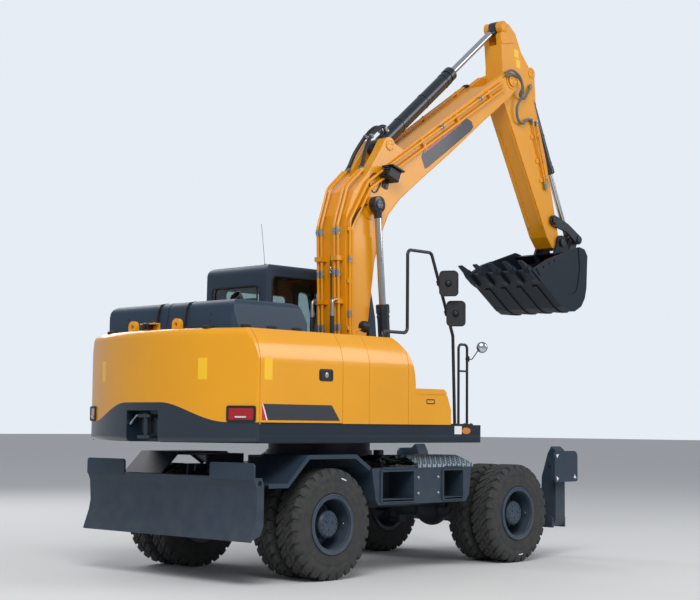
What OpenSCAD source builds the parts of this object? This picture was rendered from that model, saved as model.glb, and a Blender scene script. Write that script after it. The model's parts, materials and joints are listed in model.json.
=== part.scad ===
// Wheeled excavator, parked with its boom raised and its bucket curled.
// Origin on the ground under the swing centre, +X forward, +Y to the machine's left, +Z up.
// Millimetres. Points in lists are [x, z] in the machine's side view unless a comment says otherwise.

/* [Wheels] */
// Radius of a tyre out to the tips of its lugs
wheel_r = 530; // [510:5:545]
// Width of one tyre
tyre_w = 270; // [240:5:280]
// Gap between the two tyres of a twin
twin_gap = 55; // [40:5:75]
// Radius of the rim's bead seat
rim_r = 262; // [245:2:280]
// Radius of the hub cap
hub_r = 130; // [115:5:145]
// Distance between the axles
wheelbase = 2900; // [2860:10:2960]
// Place of the rear axle, behind the swing centre
rear_axle_x = -1050; // [-1080:5:-1030]

/* [Undercarriage] */
// Width over the tyres and over the upper body
machine_w = 2490; // [2480:2:2520]
// Half width of the chassis beam
frame_half_w = 330; // [300:5:345]
// Underside of the chassis beam
frame_z0 = 600; // [560:5:640]
// Top of the chassis beam
frame_z1 = 1000; // [960:5:1020]
// Height of the slewing ring
ring_h = 90; // [70:5:110]
// Radius of the slewing ring
ring_r = 560; // [500:10:600]
// Distance of a kingpin from the machine's centre plane
kingpin_y = 575; // [565:5:585]
// Sheet thickness of mudguards and treads
guard_t = 16; // [10:1:24]

/* [Blade] */
// Underside of the raised blade
blade_z0 = 417; // [380:5:440]
// Height of the blade
blade_h = 571; // [540:5:600]
// Plate thickness of the blade
blade_t = 20; // [14:1:28]
// Place of the blade's arms, from the centre plane
blade_arm_y = 345; // [340:1:360]
// Width of a blade arm
blade_arm_w = 78; // [60:2:90]

/* [Upper body] */
// Underside of the upper body
deck_z0 = 1300; // [1290:2:1320]
// Top of the skirt that runs round the deck
skirt_z1 = 1485; // [1460:5:1500]
// Top of the body's side panels
body_z1 = 2360; // [2320:10:2400]
// Radius of the counterweight's back, about the swing centre
tail_r = 2400; // [2370:10:2430]
// Front end of the deck
deck_front_x = 1230; // [1220:5:1250]
// Inward lean of the panels at the top of the body
lean = 145; // [120:5:170]
// Sheet thickness of doors and covers
panel_t = 30; // [20:1:40]
// Gap round each door and cover
panel_gap = 6; // [5:1:9]

/* [Cab] */
// Inner side of the cab
cab_y0 = 290; // [285:1:305]
// Back of the cab
cab_x0 = -550; // [-580:10:-520]
// Top of the cab's roof
cab_z1 = 3180; // [3140:10:3220]
// Thickness of the cab's walls
cab_t = 50; // [40:5:60]
// Thickness of the window glass
glass_t = 6; // [4:1:8]

/* [Boom and arm] */
// Side offset of the boom's centre plane
boom_y = -90; // [-100:2:-80]
// Width of the boom
boom_w = 400; // [390:2:410]
// Width of the arm
arm_w = 258; // [240:2:270]
// Radius of the pins of the boom and the arm
pin_r = 45; // [35:1:50]
// Running clearance round a pin
pin_clear = 0.3; // [0.2:0.05:0.5]
// Side clearance between pieces that move past each other
side_clear = 6; // [5.5:0.5:8]
// Radius of the pipes on the boom
pipe_r = 15; // [10:1:18]

/* [Bucket] */
// Width of the bucket
bucket_w = 1000; // [900:10:1100]
// Thickness of the bucket's plates
bucket_t = 25; // [16:1:32]
// Number of teeth
teeth = 5; // [4:1:6]

/* [Cylinders] */
// Outer radius of the boom cylinders
boom_cyl_r = 66; // [60:1:70]
// Rod radius of the boom cylinders
boom_rod_r = 37; // [30:1:42]
// Outer radius of the arm cylinder
arm_cyl_r = 78; // [70:1:84]
// Rod radius of the arm cylinder
arm_rod_r = 42; // [35:1:46]
// Outer radius of the bucket cylinder
bucket_cyl_r = 60; // [52:1:66]
// Rod radius of the bucket cylinder
bucket_rod_r = 33; // [28:1:38]

/* [Hidden] */
$fn = 48;
eps = 0.01;
half_w = machine_w / 2;
tail_corner_r = 35;
// Centre of the fillet between the round back and a side, [x, y]
tail_corner = [-sqrt(pow(tail_r - tail_corner_r, 2) - pow(half_w - tail_corner_r, 2)),
               half_w - tail_corner_r];
// Place where the counterweight meets the side doors, just ahead of its fillets
tail_x = ceil(tail_corner[0] + 2);
front_axle_x = rear_axle_x + wheelbase;
twin_half = tyre_w + twin_gap / 2;
twin_y = half_w - twin_half;

// Pins of the working linkage at rest
foot_pin = [250, 1850];
tip_pin = [2980, 5675];
boom_cyl_foot = [680, 1500];
boom_cyl_eye = [472, 3855];
arm_cyl_foot = [765, 4560];
arm_cyl_eye = [2915, 6345];
bucket_cyl_foot = [3467, 5860];
bucket_pin = [4060, 3790];
link_arm_pin = [3902, 4057];
link_rod_pin = [4422, 3862];
link_bucket_pin = [4300, 3450];
// Distance of the boom cylinders from the boom's centre plane
boom_cyl_y = boom_w / 2 + 90;

YELLOW = "goldenrod";
SLATE = "#3a444e";
STEEL = "#4a545e";
BLACK = "#202224";
CHROME = "silver";

// Cylinder along Y at side-view point p, from y0 to y1
module cross_bar(p, y0, y1, r) {
  translate([p[0], y1, p[1]]) rotate([90, 0, 0]) cylinder(h = y1 - y0, r = r);
}

// Flat plate of a side-view outline, from y0 to y1
module side_plate(points, y0, y1) {
  translate([0, y1, 0]) rotate([90, 0, 0]) linear_extrude(y1 - y0) polygon(points);
}

// Flat plate of an outline [y, z], from x0 to x1
module cross_plate(points, x0, x1) {
  translate([x0, 0, 0]) rotate([90, 0, 90]) linear_extrude(x1 - x0) polygon(points);
}

// Box between two corners
module block(lo, hi) { translate(lo) cube(hi - lo); }

// Children as drawn for the left side, or mirrored to the right
module on_side(side) { mirror([0, side < 0 ? 1 : 0, 0]) children(); }

// Frame whose Z runs from side-view point p towards q, in the plane y
module along(p, q, y) {
  d = q - p;
  translate([p[0], y, p[1]]) rotate([0, atan2(d[0], d[1]), 0]) children();
}

// Straight round bar between two points in space
module bar(p, q, r) {
  d = q - p;
  translate(p) rotate([0, acos(d[2] / norm(d)), atan2(d[1], d[0])]) cylinder(h = norm(d), r = r);
}

// Round tube of radius r through side-view points in the plane y, bent at radius b
module bent_pipe(points, y, r, b) {
  n = len(points);
  // Turn at each point, and how far its bend reaches along the straights
  turn = [for (i = [0 : n - 1]) (i == 0 || i == n - 1) ? 0 :
    let (u = points[i] - points[i - 1], v = points[i + 1] - points[i])
    atan2(u[0] * v[1] - u[1] * v[0], u * v)];
  reach = [for (t = turn) b * tan(abs(t) / 2)];
  translate([0, y, 0]) rotate([90, 0, 0]) for (i = [0 : n - 2]) {
    d = unit(points[i + 1] - points[i]);
    p = points[i] + d * reach[i];
    // Straights end just inside the bends, which are a little thicker
    lap = [i > 0 ? 3 : 0, i < n - 2 ? 3 : 0];
    translate(p - d * lap[0]) rotate([0, 90, atan2(d[1], d[0])])
      cylinder(h = norm(points[i + 1] - points[i]) - reach[i] - reach[i + 1] + lap[0] + lap[1], r = r);
    if (i > 0) {
      w = turn[i] > 0 ? 1 : -1;
      c = p + left(d) * b * w;
      translate(c) rotate([0, 0, atan2(d[1], d[0]) - 90 * w - (w > 0 ? turn[i] : 0)])
        rotate_extrude(angle = abs(turn[i])) translate([b, 0]) circle(r + 0.6);
    }
  }
}

// Convex outline whose corners are [x, y, radius]
module rounded(points) {
  n = len(points);
  // At each corner: the point, the ways to its neighbours, how far the arc reaches and lies
  cut = [for (i = [0 : n - 1]) let (p = xy(points[i]), u = unit(xy(points[(i + n - 1) % n]) - p),
    v = unit(xy(points[(i + 1) % n]) - p), half = acos(u * v) / 2, r = corner(points[i]))
    [p, u, v, r / tan(half), r / sin(half)]];
  polygon([for (c = cut) each c[3] > 0 ? [c[0] + c[1] * c[3], c[0] + c[2] * c[3]] : [c[0]]]);
  for (i = [0 : n - 1]) if (corner(points[i]) > 0)
    translate(cut[i][0] + unit(cut[i][1] + cut[i][2]) * cut[i][4]) circle(corner(points[i]) + 0.02);
}
function xy(p) = [p[0], p[1]];
function corner(p) = len(p) > 2 ? p[2] : 0;
// Outline with the same radius at each corner
function soft(points, r) = [for (p = points) [p[0], p[1], r]];
// Outline with its corners moved to its left by t, and their radii less t
function shrunk(points, t) = [for (i = [0 : len(points) - 1])
  let (m = mitre([for (p = points) xy(p)], i, t, true)) [m[0], m[1], max(0, corner(points[i]) - t)]];

// Rounded plate in side view, from y0 to y1
module side_form(points, y0, y1) {
  translate([0, y1, 0]) rotate([90, 0, 0]) linear_extrude(y1 - y0) rounded(points);
}
// Rounded plate seen from behind, outline [y, z, radius], from x0 to x1
module cross_form(points, x0, x1) {
  translate([x0, 0, 0]) rotate([90, 0, 90]) linear_extrude(x1 - x0) rounded(points);
}

function unit(v) = v / norm(v);
function left(v) = [-v[1], v[0]];
// Corner i of a path moved to its left by t, mitred
function mitre(path, i, t, closed = false) =
  let (n = len(path),
       into = (i > 0 || closed) ? unit(path[i] - path[(i + n - 1) % n]) : unit(path[1] - path[0]),
       out = (i < n - 1 || closed) ? unit(path[(i + 1) % n] - path[i]) : into,
       m = unit(left(into) + left(out)))
  path[i] + m * t / (m * left(into));
// Outline of a sheet of thickness t laid along a path, on its left
function sheet(path, t) = concat(path, [for (i = [len(path) - 1 : -1 : 0]) mitre(path, i, t)]);
// Closed outline moved to its left by t
function inset(path, t) = [for (i = [0 : len(path) - 1]) mitre(path, i, t, true)];
// Points of an arc
function arc(c, r, a0, a1, n = 8) =
  [for (i = [0 : n]) let (a = a0 + (a1 - a0) * i / n) c + r * [cos(a), sin(a)]];

// Wheels

// Half section of a tyre: [radius, share of its width from the middle]
tyre_side = [[rim_r, 0.36], [rim_r + 26, 0.44], [rim_r + 90, 0.5], [wheel_r - 90, 0.5],
             [wheel_r - 35, 0.47], [wheel_r, 0.38]];
// Lugs round each shoulder, and the gap between two of them: width, depth and reach inwards
lugs = 28;
lug_gap = [44, 26, 78];
module tyre() {
  difference() {
    rotate_extrude($fn = 64) polygon(concat(
      [for (p = tyre_side) [p[0], p[1] * tyre_w]],
      [for (i = [len(tyre_side) - 1 : -1 : 0]) [tyre_side[i][0], -tyre_side[i][1] * tyre_w]]));
    for (s = [0, 1], i = [0 : lugs - 1]) mirror([0, 0, s]) rotate([0, 0, (i + s / 2) * 360 / lugs])
      translate([wheel_r - lug_gap[1], -lug_gap[0] / 2, tyre_w / 2 - lug_gap[2]])
        cube([60, lug_gap[0], 100]);
  }
}
module tyres(side) {
  color(BLACK) for (s = [-1, 1])
    translate([0, side * twin_y + s * (tyre_w + twin_gap) / 2, 0]) rotate([90, 0, 0]) tyre();
}

spindle_r = 62;
// Outer end of the spindle and face of the hub, from the twin's middle
spindle_out = 120;
hub_face = twin_half - 55;
rim_wall = 16;
rim_lip_r = 7.5;
module rims(side) {
  mid = (tyre_w + twin_gap) / 2;
  seat = 0.36 * tyre_w;
  lip = 0.44 * tyre_w;
  color(STEEL) translate([0, side * twin_y, 0]) rotate([-side * 90, 0, 0]) {
    // One rim for each tyre, joined by the spacer between them
    rotate_extrude($fn = 64) polygon([
      [rim_r - rim_wall, -mid - lip - 12], [rim_r + 26, -mid - lip - 12], [rim_r + 26, -mid - lip],
      [rim_r, -mid - seat], [rim_r, -mid + seat], [rim_r, mid - seat], [rim_r, mid + seat],
      [rim_r + 26, mid + lip], [rim_r + 26, mid + lip + 12], [rim_r - rim_wall, mid + lip + 12]]);
    // Rolled lips of both rims, clear of the tyres' beads
    for (z = [-mid - lip - 8.5, mid + lip + 8.5]) translate([0, 0, z])
      rotate_extrude($fn = 64) translate([rim_r + 26 - rim_lip_r, 0]) circle(rim_lip_r);
    // Dished disc and planetary hub
    rotate_extrude($fn = 64) polygon([
      [rim_r - rim_wall + eps, 0], [rim_r - rim_wall + eps, 24], [200, 64], [hub_r + 12, 64],
      [hub_r + 12, 90], [hub_r, 100], [hub_r, hub_face - 20], [hub_r - 20, hub_face], [0, hub_face],
      [0, spindle_out + 6], [spindle_r + pin_clear, spindle_out + 6], [spindle_r + pin_clear, -110],
      [hub_r, -110], [hub_r, 30], [200, 36]]);
  }
}
module at_axle(front) { translate([front ? front_axle_x : rear_axle_x, 0, wheel_r]) children(); }

// Undercarriage

diff_r = 190;
saddle_x = 90;
saddle_y = [-frame_half_w + 60, frame_half_w - 150];
module saddles() {
  for (y = saddle_y) block([-saddle_x, y, 0], [saddle_x, y + 90, frame_z0 - wheel_r]);
}
module rear_axle() {
  color(STEEL) at_axle(false) {
    cross_bar([0, 0], -twin_y - spindle_out, twin_y + spindle_out, spindle_r);
    cross_bar([0, 0], -frame_half_w - 280, frame_half_w + 280, 100);
    for (s = [-1, 1]) cross_bar([0, 0], s * (frame_half_w + 235) - 25, s * (frame_half_w + 235) + 25, 150);
    sphere(r = diff_r);
    saddles();
  }
}

fork_h = 125;
module front_axle() {
  color(STEEL) at_axle(true) difference() {
    union() {
      cross_bar([0, 0], -kingpin_y + 90, kingpin_y - 90, 100);
      sphere(r = diff_r);
      for (s = [-1, 1]) on_side(s) {
        for (z = [-fork_h - 50, fork_h]) {
          translate([0, kingpin_y, z]) cylinder(h = 50, r = 60);
          block([-60, kingpin_y - 130, z], [60, kingpin_y, z + 50]);
        }
        block([-60, kingpin_y - 130, -fork_h - 50], [60, kingpin_y - 80, fork_h + 50]);
      }
      saddles();
    }
    for (s = [-1, 1]) translate([0, s * kingpin_y, 0])
      cylinder(h = 4 * fork_h, r = 28 + pin_clear, center = true);
  }
}
module knuckle(side) {
  color(STEEL) at_axle(true) on_side(side) {
    translate([0, kingpin_y, 0]) {
      cylinder(h = 2 * (fork_h - side_clear), r = 70, center = true);
      cylinder(h = 2 * (fork_h + 50), r = 28, center = true);
    }
    cross_bar([0, 0], kingpin_y, twin_y + spindle_out, spindle_r);
  }
}

ring_z0 = deck_z0 - ring_h;
beam_x = [-1330, 2550];
bracket_t = 25;
blade_pivot = [-1450, 560];
blade_foot_pin = [-1400, 1010];
blade_rod_pin = [-1960, blade_z0 + 413];
blade_cyl_y = 200;
module chassis_frame() {
  bracket = [[-1510, 480], [-1520, 640], [-1470, 1075], [beam_x[0] + 10, 1075], [beam_x[0] + 10, 480]];
  web = blade_arm_w / 2 + side_clear;
  color(STEEL) {
    difference() {
      block([beam_x[0], -frame_half_w, frame_z0], [beam_x[1], frame_half_w, frame_z1]);
      for (f = [false, true]) at_axle(f) sphere(r = diff_r + side_clear);
      // Troughs over the axle tubes
      for (f = [false, true]) at_axle(f)
        cross_bar([0, 0], -frame_half_w - 1, frame_half_w + 1, 100 + side_clear);
    }
    translate([0, 0, frame_z1 - eps]) cylinder(h = ring_z0 - frame_z1 + eps, r1 = ring_r + 30, r2 = ring_r);
    block([-480, -600, frame_z1 - 180], [560, 600, frame_z1]);
    // Brackets that carry the blade's arms and cylinders
    for (s = [-1, 1], y = [blade_arm_y - web - bracket_t, blade_arm_y + web])
      on_side(s) side_plate(bracket, y, y + bracket_t);
    block([beam_x[0], -blade_arm_y - web - bracket_t, 480],
          [beam_x[0] + 20, blade_arm_y + web + bracket_t, 1075]);
    cross_bar(blade_foot_pin, -blade_arm_y + web, blade_arm_y - web, 30);
    for (s = [-1, 1]) on_side(s) cross_bar(blade_pivot, blade_arm_y - web, blade_arm_y + web, 40);
    // Shelf under each rear mudguard
    for (s = [-1, 1]) on_side(s) {
      block([-1300, frame_half_w - 25, frame_z1 - eps], [-800, frame_half_w, fender_top - guard_t]);
      block([-1300, frame_half_w - 25, fender_top - guard_t - 20], [-800, 1000, fender_top - guard_t]);
    }
  }
}
module swing_ring() {
  color(BLACK) translate([0, 0, ring_z0]) difference() {
    cylinder(h = ring_h - pin_clear, r = ring_r - 20, $fn = 96);
    translate([0, 0, -1]) cylinder(h = ring_h + 2, r = ring_r - 120, $fn = 96);
  }
}

fender_top = 1190;
fender_path = [[-1900, 930], [-1668, 930], [-1394, fender_top], [-739, fender_top], [-534, 1066]];
module fenders() {
  color(SLATE) for (s = [-1, 1]) on_side(s) {
    side_plate(sheet(fender_path, -guard_t), 640, half_w);
    // Outer edge turned down
    side_plate(sheet(fender_path, -guard_t - 24), half_w - 10, half_w);
  }
}

box_x = [rear_axle_x + wheel_r + 22, 1050];
box_z = [690, 1050];
lockers = [[-350, 120], [590, 900]];
module side_boxes() {
  outline = [[box_x[0], box_z[1]], [box_x[1], box_z[1]], [box_x[1] - 40, 760], [box_x[1] - 100, box_z[0]],
             [box_x[0] + 100, box_z[0]], [box_x[0] + 60, 740]];
  color(STEEL) for (s = [-1, 1]) on_side(s) difference() {
    union() {
      side_plate(outline, 600, half_w - 20);
      // Raised rim round each locker
      for (x = lockers) side_form(soft([[x[0] - 26, box_z[0] + 19], [x[1] + 26, box_z[0] + 19],
        [x[1] + 26, box_z[1] - 9], [x[0] - 26, box_z[1] - 9]], 30), half_w - 21, half_w - 8);
    }
    // Two open lockers, each a step
    for (x = lockers) block([x[0], 900, box_z[0] + 45], [x[1], half_w, box_z[1] - 35]);
  }
}
// Bent tread sheet that rises from the box's edge towards the machine, [y, z]
tread_path = [[half_w - 15, box_z[1]], [half_w - 15, box_z[1] + 32], [half_w - 190, fender_top - 20],
              [760, fender_top - 20]];
module step_treads() {
  color(BLACK) for (s = [-1, 1]) on_side(s) intersection() {
    cross_plate(sheet(tread_path, guard_t), 200, 1070);
    // Its front end slopes down as well
    side_plate([[199, box_z[1]], [1071, box_z[1]], [1071, box_z[1] + 40], [985, fender_top + 1],
                [199, fender_top + 1]], 0, half_w);
  }
}

// Outriggers

leg_x = [2740, 2920];
leg_mid = (leg_x[0] + leg_x[1]) / 2;
// Points [distance from the centre plane, z]
leg_pivot = [1000, 400];
leg_rod_pin = [985, 640];
leg_foot_pin = [400, 820];
module outrigger_frame() {
  // Half outline of a cheek, with an ear that holds the cylinder beside the lowered boom
  ear = concat([[1075, 330], [1075, 440], [960, 500], [620, 590]], arc(leg_foot_pin, 56, 30, 180, 8),
               [[leg_foot_pin[0] - 56, 620]]);
  cheek = concat(ear, [for (i = [len(ear) - 1 : -1 : 0]) [-ear[i][0], ear[i][1]]]);
  color(STEEL) {
    difference() {
      for (x = [leg_x[0] - side_clear - 30, leg_x[1] + side_clear]) cross_plate(cheek, x, x + 30);
      for (s = [-1, 1]) translate([leg_x[0] - 100, s * leg_pivot[0], leg_pivot[1]]) rotate([0, 90, 0])
        cylinder(h = 500, r = 35 + pin_clear);
    }
    block([beam_x[1], -frame_half_w, 420], [leg_x[0] - side_clear - 30 + eps, frame_half_w, 620]);
    block([beam_x[1], -frame_half_w, 620 - eps], [beam_x[1] + 30, frame_half_w, frame_z1 - 60]);
    block([leg_x[0] - side_clear - eps, -880, 330], [leg_x[1] + side_clear + eps, 880, 360]);
    for (s = [-1, 1]) on_side(s) translate([leg_x[0] - side_clear - eps, leg_foot_pin[0], leg_foot_pin[1]])
      rotate([0, 90, 0]) cylinder(h = leg_x[1] - leg_x[0] + 2 * side_clear, r = 25);
  }
}
module outrigger(side) {
  color(STEEL) on_side(side) {
    difference() {
      cross_plate([[945, 345], [1055, 345], [1095, 420], [1095, 1200], [1035, 1250], [985, 1170],
                   [900, 900], [895, 740], [930, 520]], leg_x[0], leg_x[1]);
      // Open inner side, which the cylinder's rod swings into
      cross_plate([[850, 300], [leg_pivot[0] - 38, 300], [leg_pivot[0] - 38, 525],
                   [leg_rod_pin[0] + 55, 545], [leg_rod_pin[0] + 55, 740], [850, 740]],
                  leg_mid - 50, leg_mid + 50);
    }
    translate([leg_x[0] - side_clear - 30, leg_pivot[0], leg_pivot[1]]) rotate([0, 90, 0])
      cylinder(h = leg_x[1] - leg_x[0] + 2 * side_clear + 60, r = 35);
    // Foot plate, folded flat against the leg
    side_form([[2585, 850, 30], [3025, 850, 30], [3025, 1200, 70], [2585, 1200, 70]], 1176, 1200);
    for (x = [2600, 2990]) block([x, 1130, 870], [x + 20, 1176 + eps, 1120]);
    block([leg_x[0] + 20, 1095 - eps, 950], [leg_x[1] - 20, 1176 + eps, 1120]);
    // Boss of the foot's pin
    translate([leg_x[0] - 12, 1035, 1066]) rotate([0, 90, 0])
      cylinder(h = leg_x[1] - leg_x[0] + 24, r = 48);
  }
}
leg_cyl = leg_rod_pin - leg_foot_pin;
module at_leg_cylinder(side) {
  on_side(side) translate([leg_mid, leg_foot_pin[0], leg_foot_pin[1]])
    rotate([-atan2(leg_cyl[0], leg_cyl[1]), 0, 0]) children();
}
module outrigger_barrel(side) {
  color(BLACK) at_leg_cylinder(side) difference() {
    union() {
      cylinder(h = 505, r = 44);
      rotate([0, 90, 0]) cylinder(h = leg_x[1] - leg_x[0], r = 50, center = true);
    }
    rotate([0, 90, 0]) cylinder(h = 300, r = 25 + pin_clear, center = true);
    translate([0, 0, 60]) cylinder(h = 505, r = 24 + pin_clear);
  }
}
module outrigger_rod(side) {
  color(CHROME) at_leg_cylinder(side) {
    translate([0, 0, 100]) cylinder(h = norm(leg_cyl) - 100, r = 24);
    translate([0, 0, norm(leg_cyl)]) rotate([0, 90, 0]) cylinder(h = 80, r = 40, center = true);
  }
}

// Blade

blade_top = blade_z0 + blade_h;
blade_face = [[-2090, blade_top], [-2052, blade_top - 88], [-2040, blade_z0 + 284],
              [-2060, blade_z0 + 183], [-2126, blade_z0]];
module blade() {
  wing = [[-2126, blade_z0], [-2000, blade_z0 + 50], [-1960, blade_z0 + 140], [-1960, blade_top - 60],
          [-1990, blade_top], [-2090, blade_top], [-2052, blade_top - 88], [-2040, blade_z0 + 284],
          [-2060, blade_z0 + 183]];
  arm = [[-1450, 498], [-1450, 622], [-1560, 650], [-2040, blade_z0 + 300], [-2040, blade_z0 + 284],
         [-2060, blade_z0 + 183], [-2070, blade_z0 + 150], [-1650, 500]];
  lug = concat(arc(blade_rod_pin, 40, -60, 100, 8), [[-2048, blade_z0 + 480], [-2040, blade_z0 + 340]]);
  color(STEEL) difference() {
    union() {
      side_plate(sheet(blade_face, blade_t), -half_w, half_w);
      for (s = [-1, 1]) on_side(s) {
        side_plate(wing, half_w - 20, half_w);
        cross_form([[640, blade_top - 20, 0], [half_w, blade_top - 20, 0], [half_w, blade_top + 135, 35],
                    [640, blade_top + 135, 35]], -2090, -2070);
        side_plate(arm, blade_arm_y - blade_arm_w / 2, blade_arm_y + blade_arm_w / 2);
        cross_bar(blade_pivot, blade_arm_y - blade_arm_w / 2, blade_arm_y + blade_arm_w / 2, 62);
        for (y = [blade_cyl_y - 62, blade_cyl_y + 38]) side_plate(lug, y, y + 24);
        for (y = [blade_cyl_y - 72, blade_cyl_y + 38]) cross_bar(blade_rod_pin, y, y + 34, 26);
      }
    }
    for (s = [-1, 1]) on_side(s) {
      cross_bar(blade_pivot, blade_arm_y - 100, blade_arm_y + 100, 40 + pin_clear);
      cross_bar([-2010, blade_top - 50], half_w - 60, half_w + 10, blade_eye_r);
    }
  }
}
blade_eye_r = 24;
blade_cyl = norm(blade_rod_pin - blade_foot_pin);
module blade_barrels() {
  color(BLACK) for (s = [-1, 1]) along(blade_foot_pin, blade_rod_pin, s * blade_cyl_y) difference() {
    union() {
      cylinder(h = 460, r = 45);
      translate([0, 0, 410]) cylinder(h = 60, r = 50);
      rotate([90, 0, 0]) cylinder(h = 90, r = 50, center = true);
    }
    rotate([90, 0, 0]) cylinder(h = 100, r = 30 + pin_clear, center = true);
    translate([0, 0, 62]) cylinder(h = 460, r = 25 + pin_clear);
  }
}
module blade_rods() {
  color(CHROME) for (s = [-1, 1]) along(blade_foot_pin, blade_rod_pin, s * blade_cyl_y) {
    translate([0, 0, 90]) cylinder(h = blade_cyl - 90, r = 25);
    translate([0, 0, blade_cyl]) rotate([90, 0, 0]) cylinder(h = 64, r = 38, center = true);
  }
}

// Upper body

// The panels are upright to this height and lean in above it, along an arc
lean_z0 = 2040;
lean_r = (pow(body_z1 - lean_z0, 2) + lean * lean) / (2 * lean);
// Section of one side of the body less a skin of t, outline [y, z], from y0 out and from z0 to z1
module side_profile(y0, z0, t = 0, z1 = body_z1) {
  translate([y0, z0]) square([half_w - t - y0, lean_z0 - z0]);
  mid = half_w - lean_r;
  if (y0 < mid) translate([y0, lean_z0]) square([mid - y0, z1 - lean_z0]);
  intersection() {
    translate([mid, lean_z0]) circle(lean_r - t, $fn = 96);
    translate([max(y0, mid), lean_z0]) square([lean_r, z1 - lean_z0]);
  }
}
// Solid of that section, from x0 to x1
module side_body(y0, z0, x0, x1, z1 = body_z1) {
  translate([x0, 0, 0]) rotate([90, 0, 90]) linear_extrude(x1 - x0) side_profile(y0, z0, 0, z1);
}
bracket_y = boom_w / 2 + side_clear;
lug_t = 30;
// Radius of the hinge pins, and the doors' axis, [x, y]
hinge_r = 5;
door_axis = [tail_x + panel_gap + hinge_r + 2, half_w - hinge_r - 2];
// Section of a skirt, [y, z]
skirt = [[half_w - 61, deck_z0], [half_w - 8, deck_z0], [half_w, deck_z0 + 12], [half_w, deck_z0 + 60],
         [half_w - 12, deck_z0 + 76], [half_w - 12, skirt_z1], [half_w - 61, skirt_z1]];
module deck() {
  floor_z1 = deck_z0 + 50;
  foot = concat([[-260, floor_z1 - eps], [860, floor_z1 - eps]], arc(boom_cyl_foot, 78, -20, 165, 8),
                [[560, 1640]], arc(foot_pin, 130, 20, 200, 10));
  color(SLATE) difference() {
    union() {
      intersection() {
        union() {
          block([tail_x + eps, -half_w + 60, deck_z0], [deck_front_x, half_w - 60, floor_z1]);
          // Skirts along both sides, with a lip that stands out below, and the front corners
          for (s = [-1, 1]) on_side(s) cross_plate(skirt, tail_x + eps, deck_front_x);
          // Platform in front of the tank
          block([tank_x[1], -half_w + 60, deck_z0], [deck_front_x, -tank_y, skirt_z1]);
          block([deck_front_x - 60, cab_y0, deck_z0], [deck_front_x, half_w - 60, skirt_z1]);
        }
        translate([0, 0, deck_z0 - 1]) linear_extrude(skirt_z1 - deck_z0 + 2)
          rounded([[tail_x - 1, -half_w - 1], [deck_front_x, -half_w - 1, 80],
                   [deck_front_x, half_w + 1, 80], [tail_x - 1, half_w + 1]]);
      }
      // Brackets of the boom and of its cylinders
      for (s = [-1, 1]) translate([0, boom_y, 0]) on_side(s) {
        side_plate(foot, bracket_y, bracket_y + lug_t);
        side_plate(concat([[560, floor_z1 - eps], [800, floor_z1 - eps]],
                          arc(boom_cyl_foot, 72, 0, 180, 8)), boom_cyl_y + 45, boom_cyl_y + 65);
        cross_bar(boom_cyl_foot, bracket_y, boom_cyl_y + 65, 35);
      }
      cross_bar(foot_pin, boom_y - bracket_y - lug_t, boom_y + bracket_y + lug_t, pin_r);
    }
    translate([0, 0, deck_z0 - 1]) cylinder(h = 100, r = 250);
    for (s = [-1, 1]) translate([door_axis[0], s * door_axis[1], skirt_z1 - 12])
      cylinder(h = 20, r = hinge_r + pin_clear);
  }
}
recess_y = 235;
recess_z1 = 1596;
eye_y = -330;
eye_r = 58;
lift_eye_r = 22;
module tail_plan() {
  y1 = tail_corner[1] * tail_r / norm(tail_corner) - 0.5;
  intersection() {
    circle(tail_r, $fn = 180);
    translate([-tail_r - 1, -y1]) square([tail_r + tail_x + 2, 2 * y1]);
  }
  for (s = [-1, 1]) translate([tail_corner[0], s * tail_corner[1]]) circle(tail_corner_r + 0.05);
  translate([tail_corner[0], -half_w - 10]) square([tail_x - tail_corner[0] + 1, machine_w + 20]);
}
module at_tail_lamp(side) { rotate([0, 0, side * 27.5]) translate([-tail_r, 0, 1567]) children(); }
module counterweight() {
  color(YELLOW) difference() {
    union() {
      intersection() {
        rotate_extrude($fn = 180) rounded([[tail_r / 2, deck_z0, 0], [tail_r, deck_z0, 48],
                                           [tail_r, body_z1, 70], [tail_r / 2, body_z1, 0]]);
        translate([0, 0, deck_z0 - 1]) linear_extrude(body_z1 - deck_z0 + 2) tail_plan();
        for (s = [-1, 1]) on_side(s) side_body(-1, deck_z0 - 1, -tail_r - 1, tail_x, body_z1 + 1);
      }
      // Raised lifting lugs on top, and the shelf of the camera beside the left one
      for (s = [-1, 1]) translate([-tail_r + 130, s * eye_y, 0]) {
        translate([0, 0, body_z1 + 45]) rotate([0, 90, 0]) cylinder(h = 40, r = eye_r);
        block([0, -eye_r, body_z1 - 20], [40, eye_r, body_z1 + 45]);
      }
      block([-tail_r + 150, -60, body_z1 - 10], [-tail_r + 162, 160, body_z1 + 70]);
      block([-tail_r + 90, -60, body_z1 + 58], [-tail_r + 162, 160, body_z1 + 70]);
    }
    block([-tail_r - 10, -recess_y, deck_z0 - 1], [-tail_r + 160, recess_y, recess_z1]);
    for (s = [-1, 1]) translate([-tail_r + 100, s * eye_y, body_z1 + 45]) rotate([0, 90, 0])
      cylinder(h = 100, r = lift_eye_r);
    for (s = [-1, 1]) at_tail_lamp(s) cross_form(lamp_outline, -15, lamp_t);
  }
  // Tow pin between two ledges in the recess
  color(YELLOW) {
    translate([-tail_r + 70, 0, deck_z0 + 45]) cylinder(h = 200, r = 26);
    for (z = [deck_z0 + 30, deck_z0 + 230]) block([-tail_r + 30, -90, z], [-tail_r + 165, 90, z + 30]);
  }
}
module engine_block() {
  color(BLACK) block([tail_x + 130, -420, deck_z0 + 50], [-1150, 420, 2100]);
}
tank_x = [-936, 130];
door_x = [tail_x + panel_gap, tank_x[0] - panel_gap];
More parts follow.
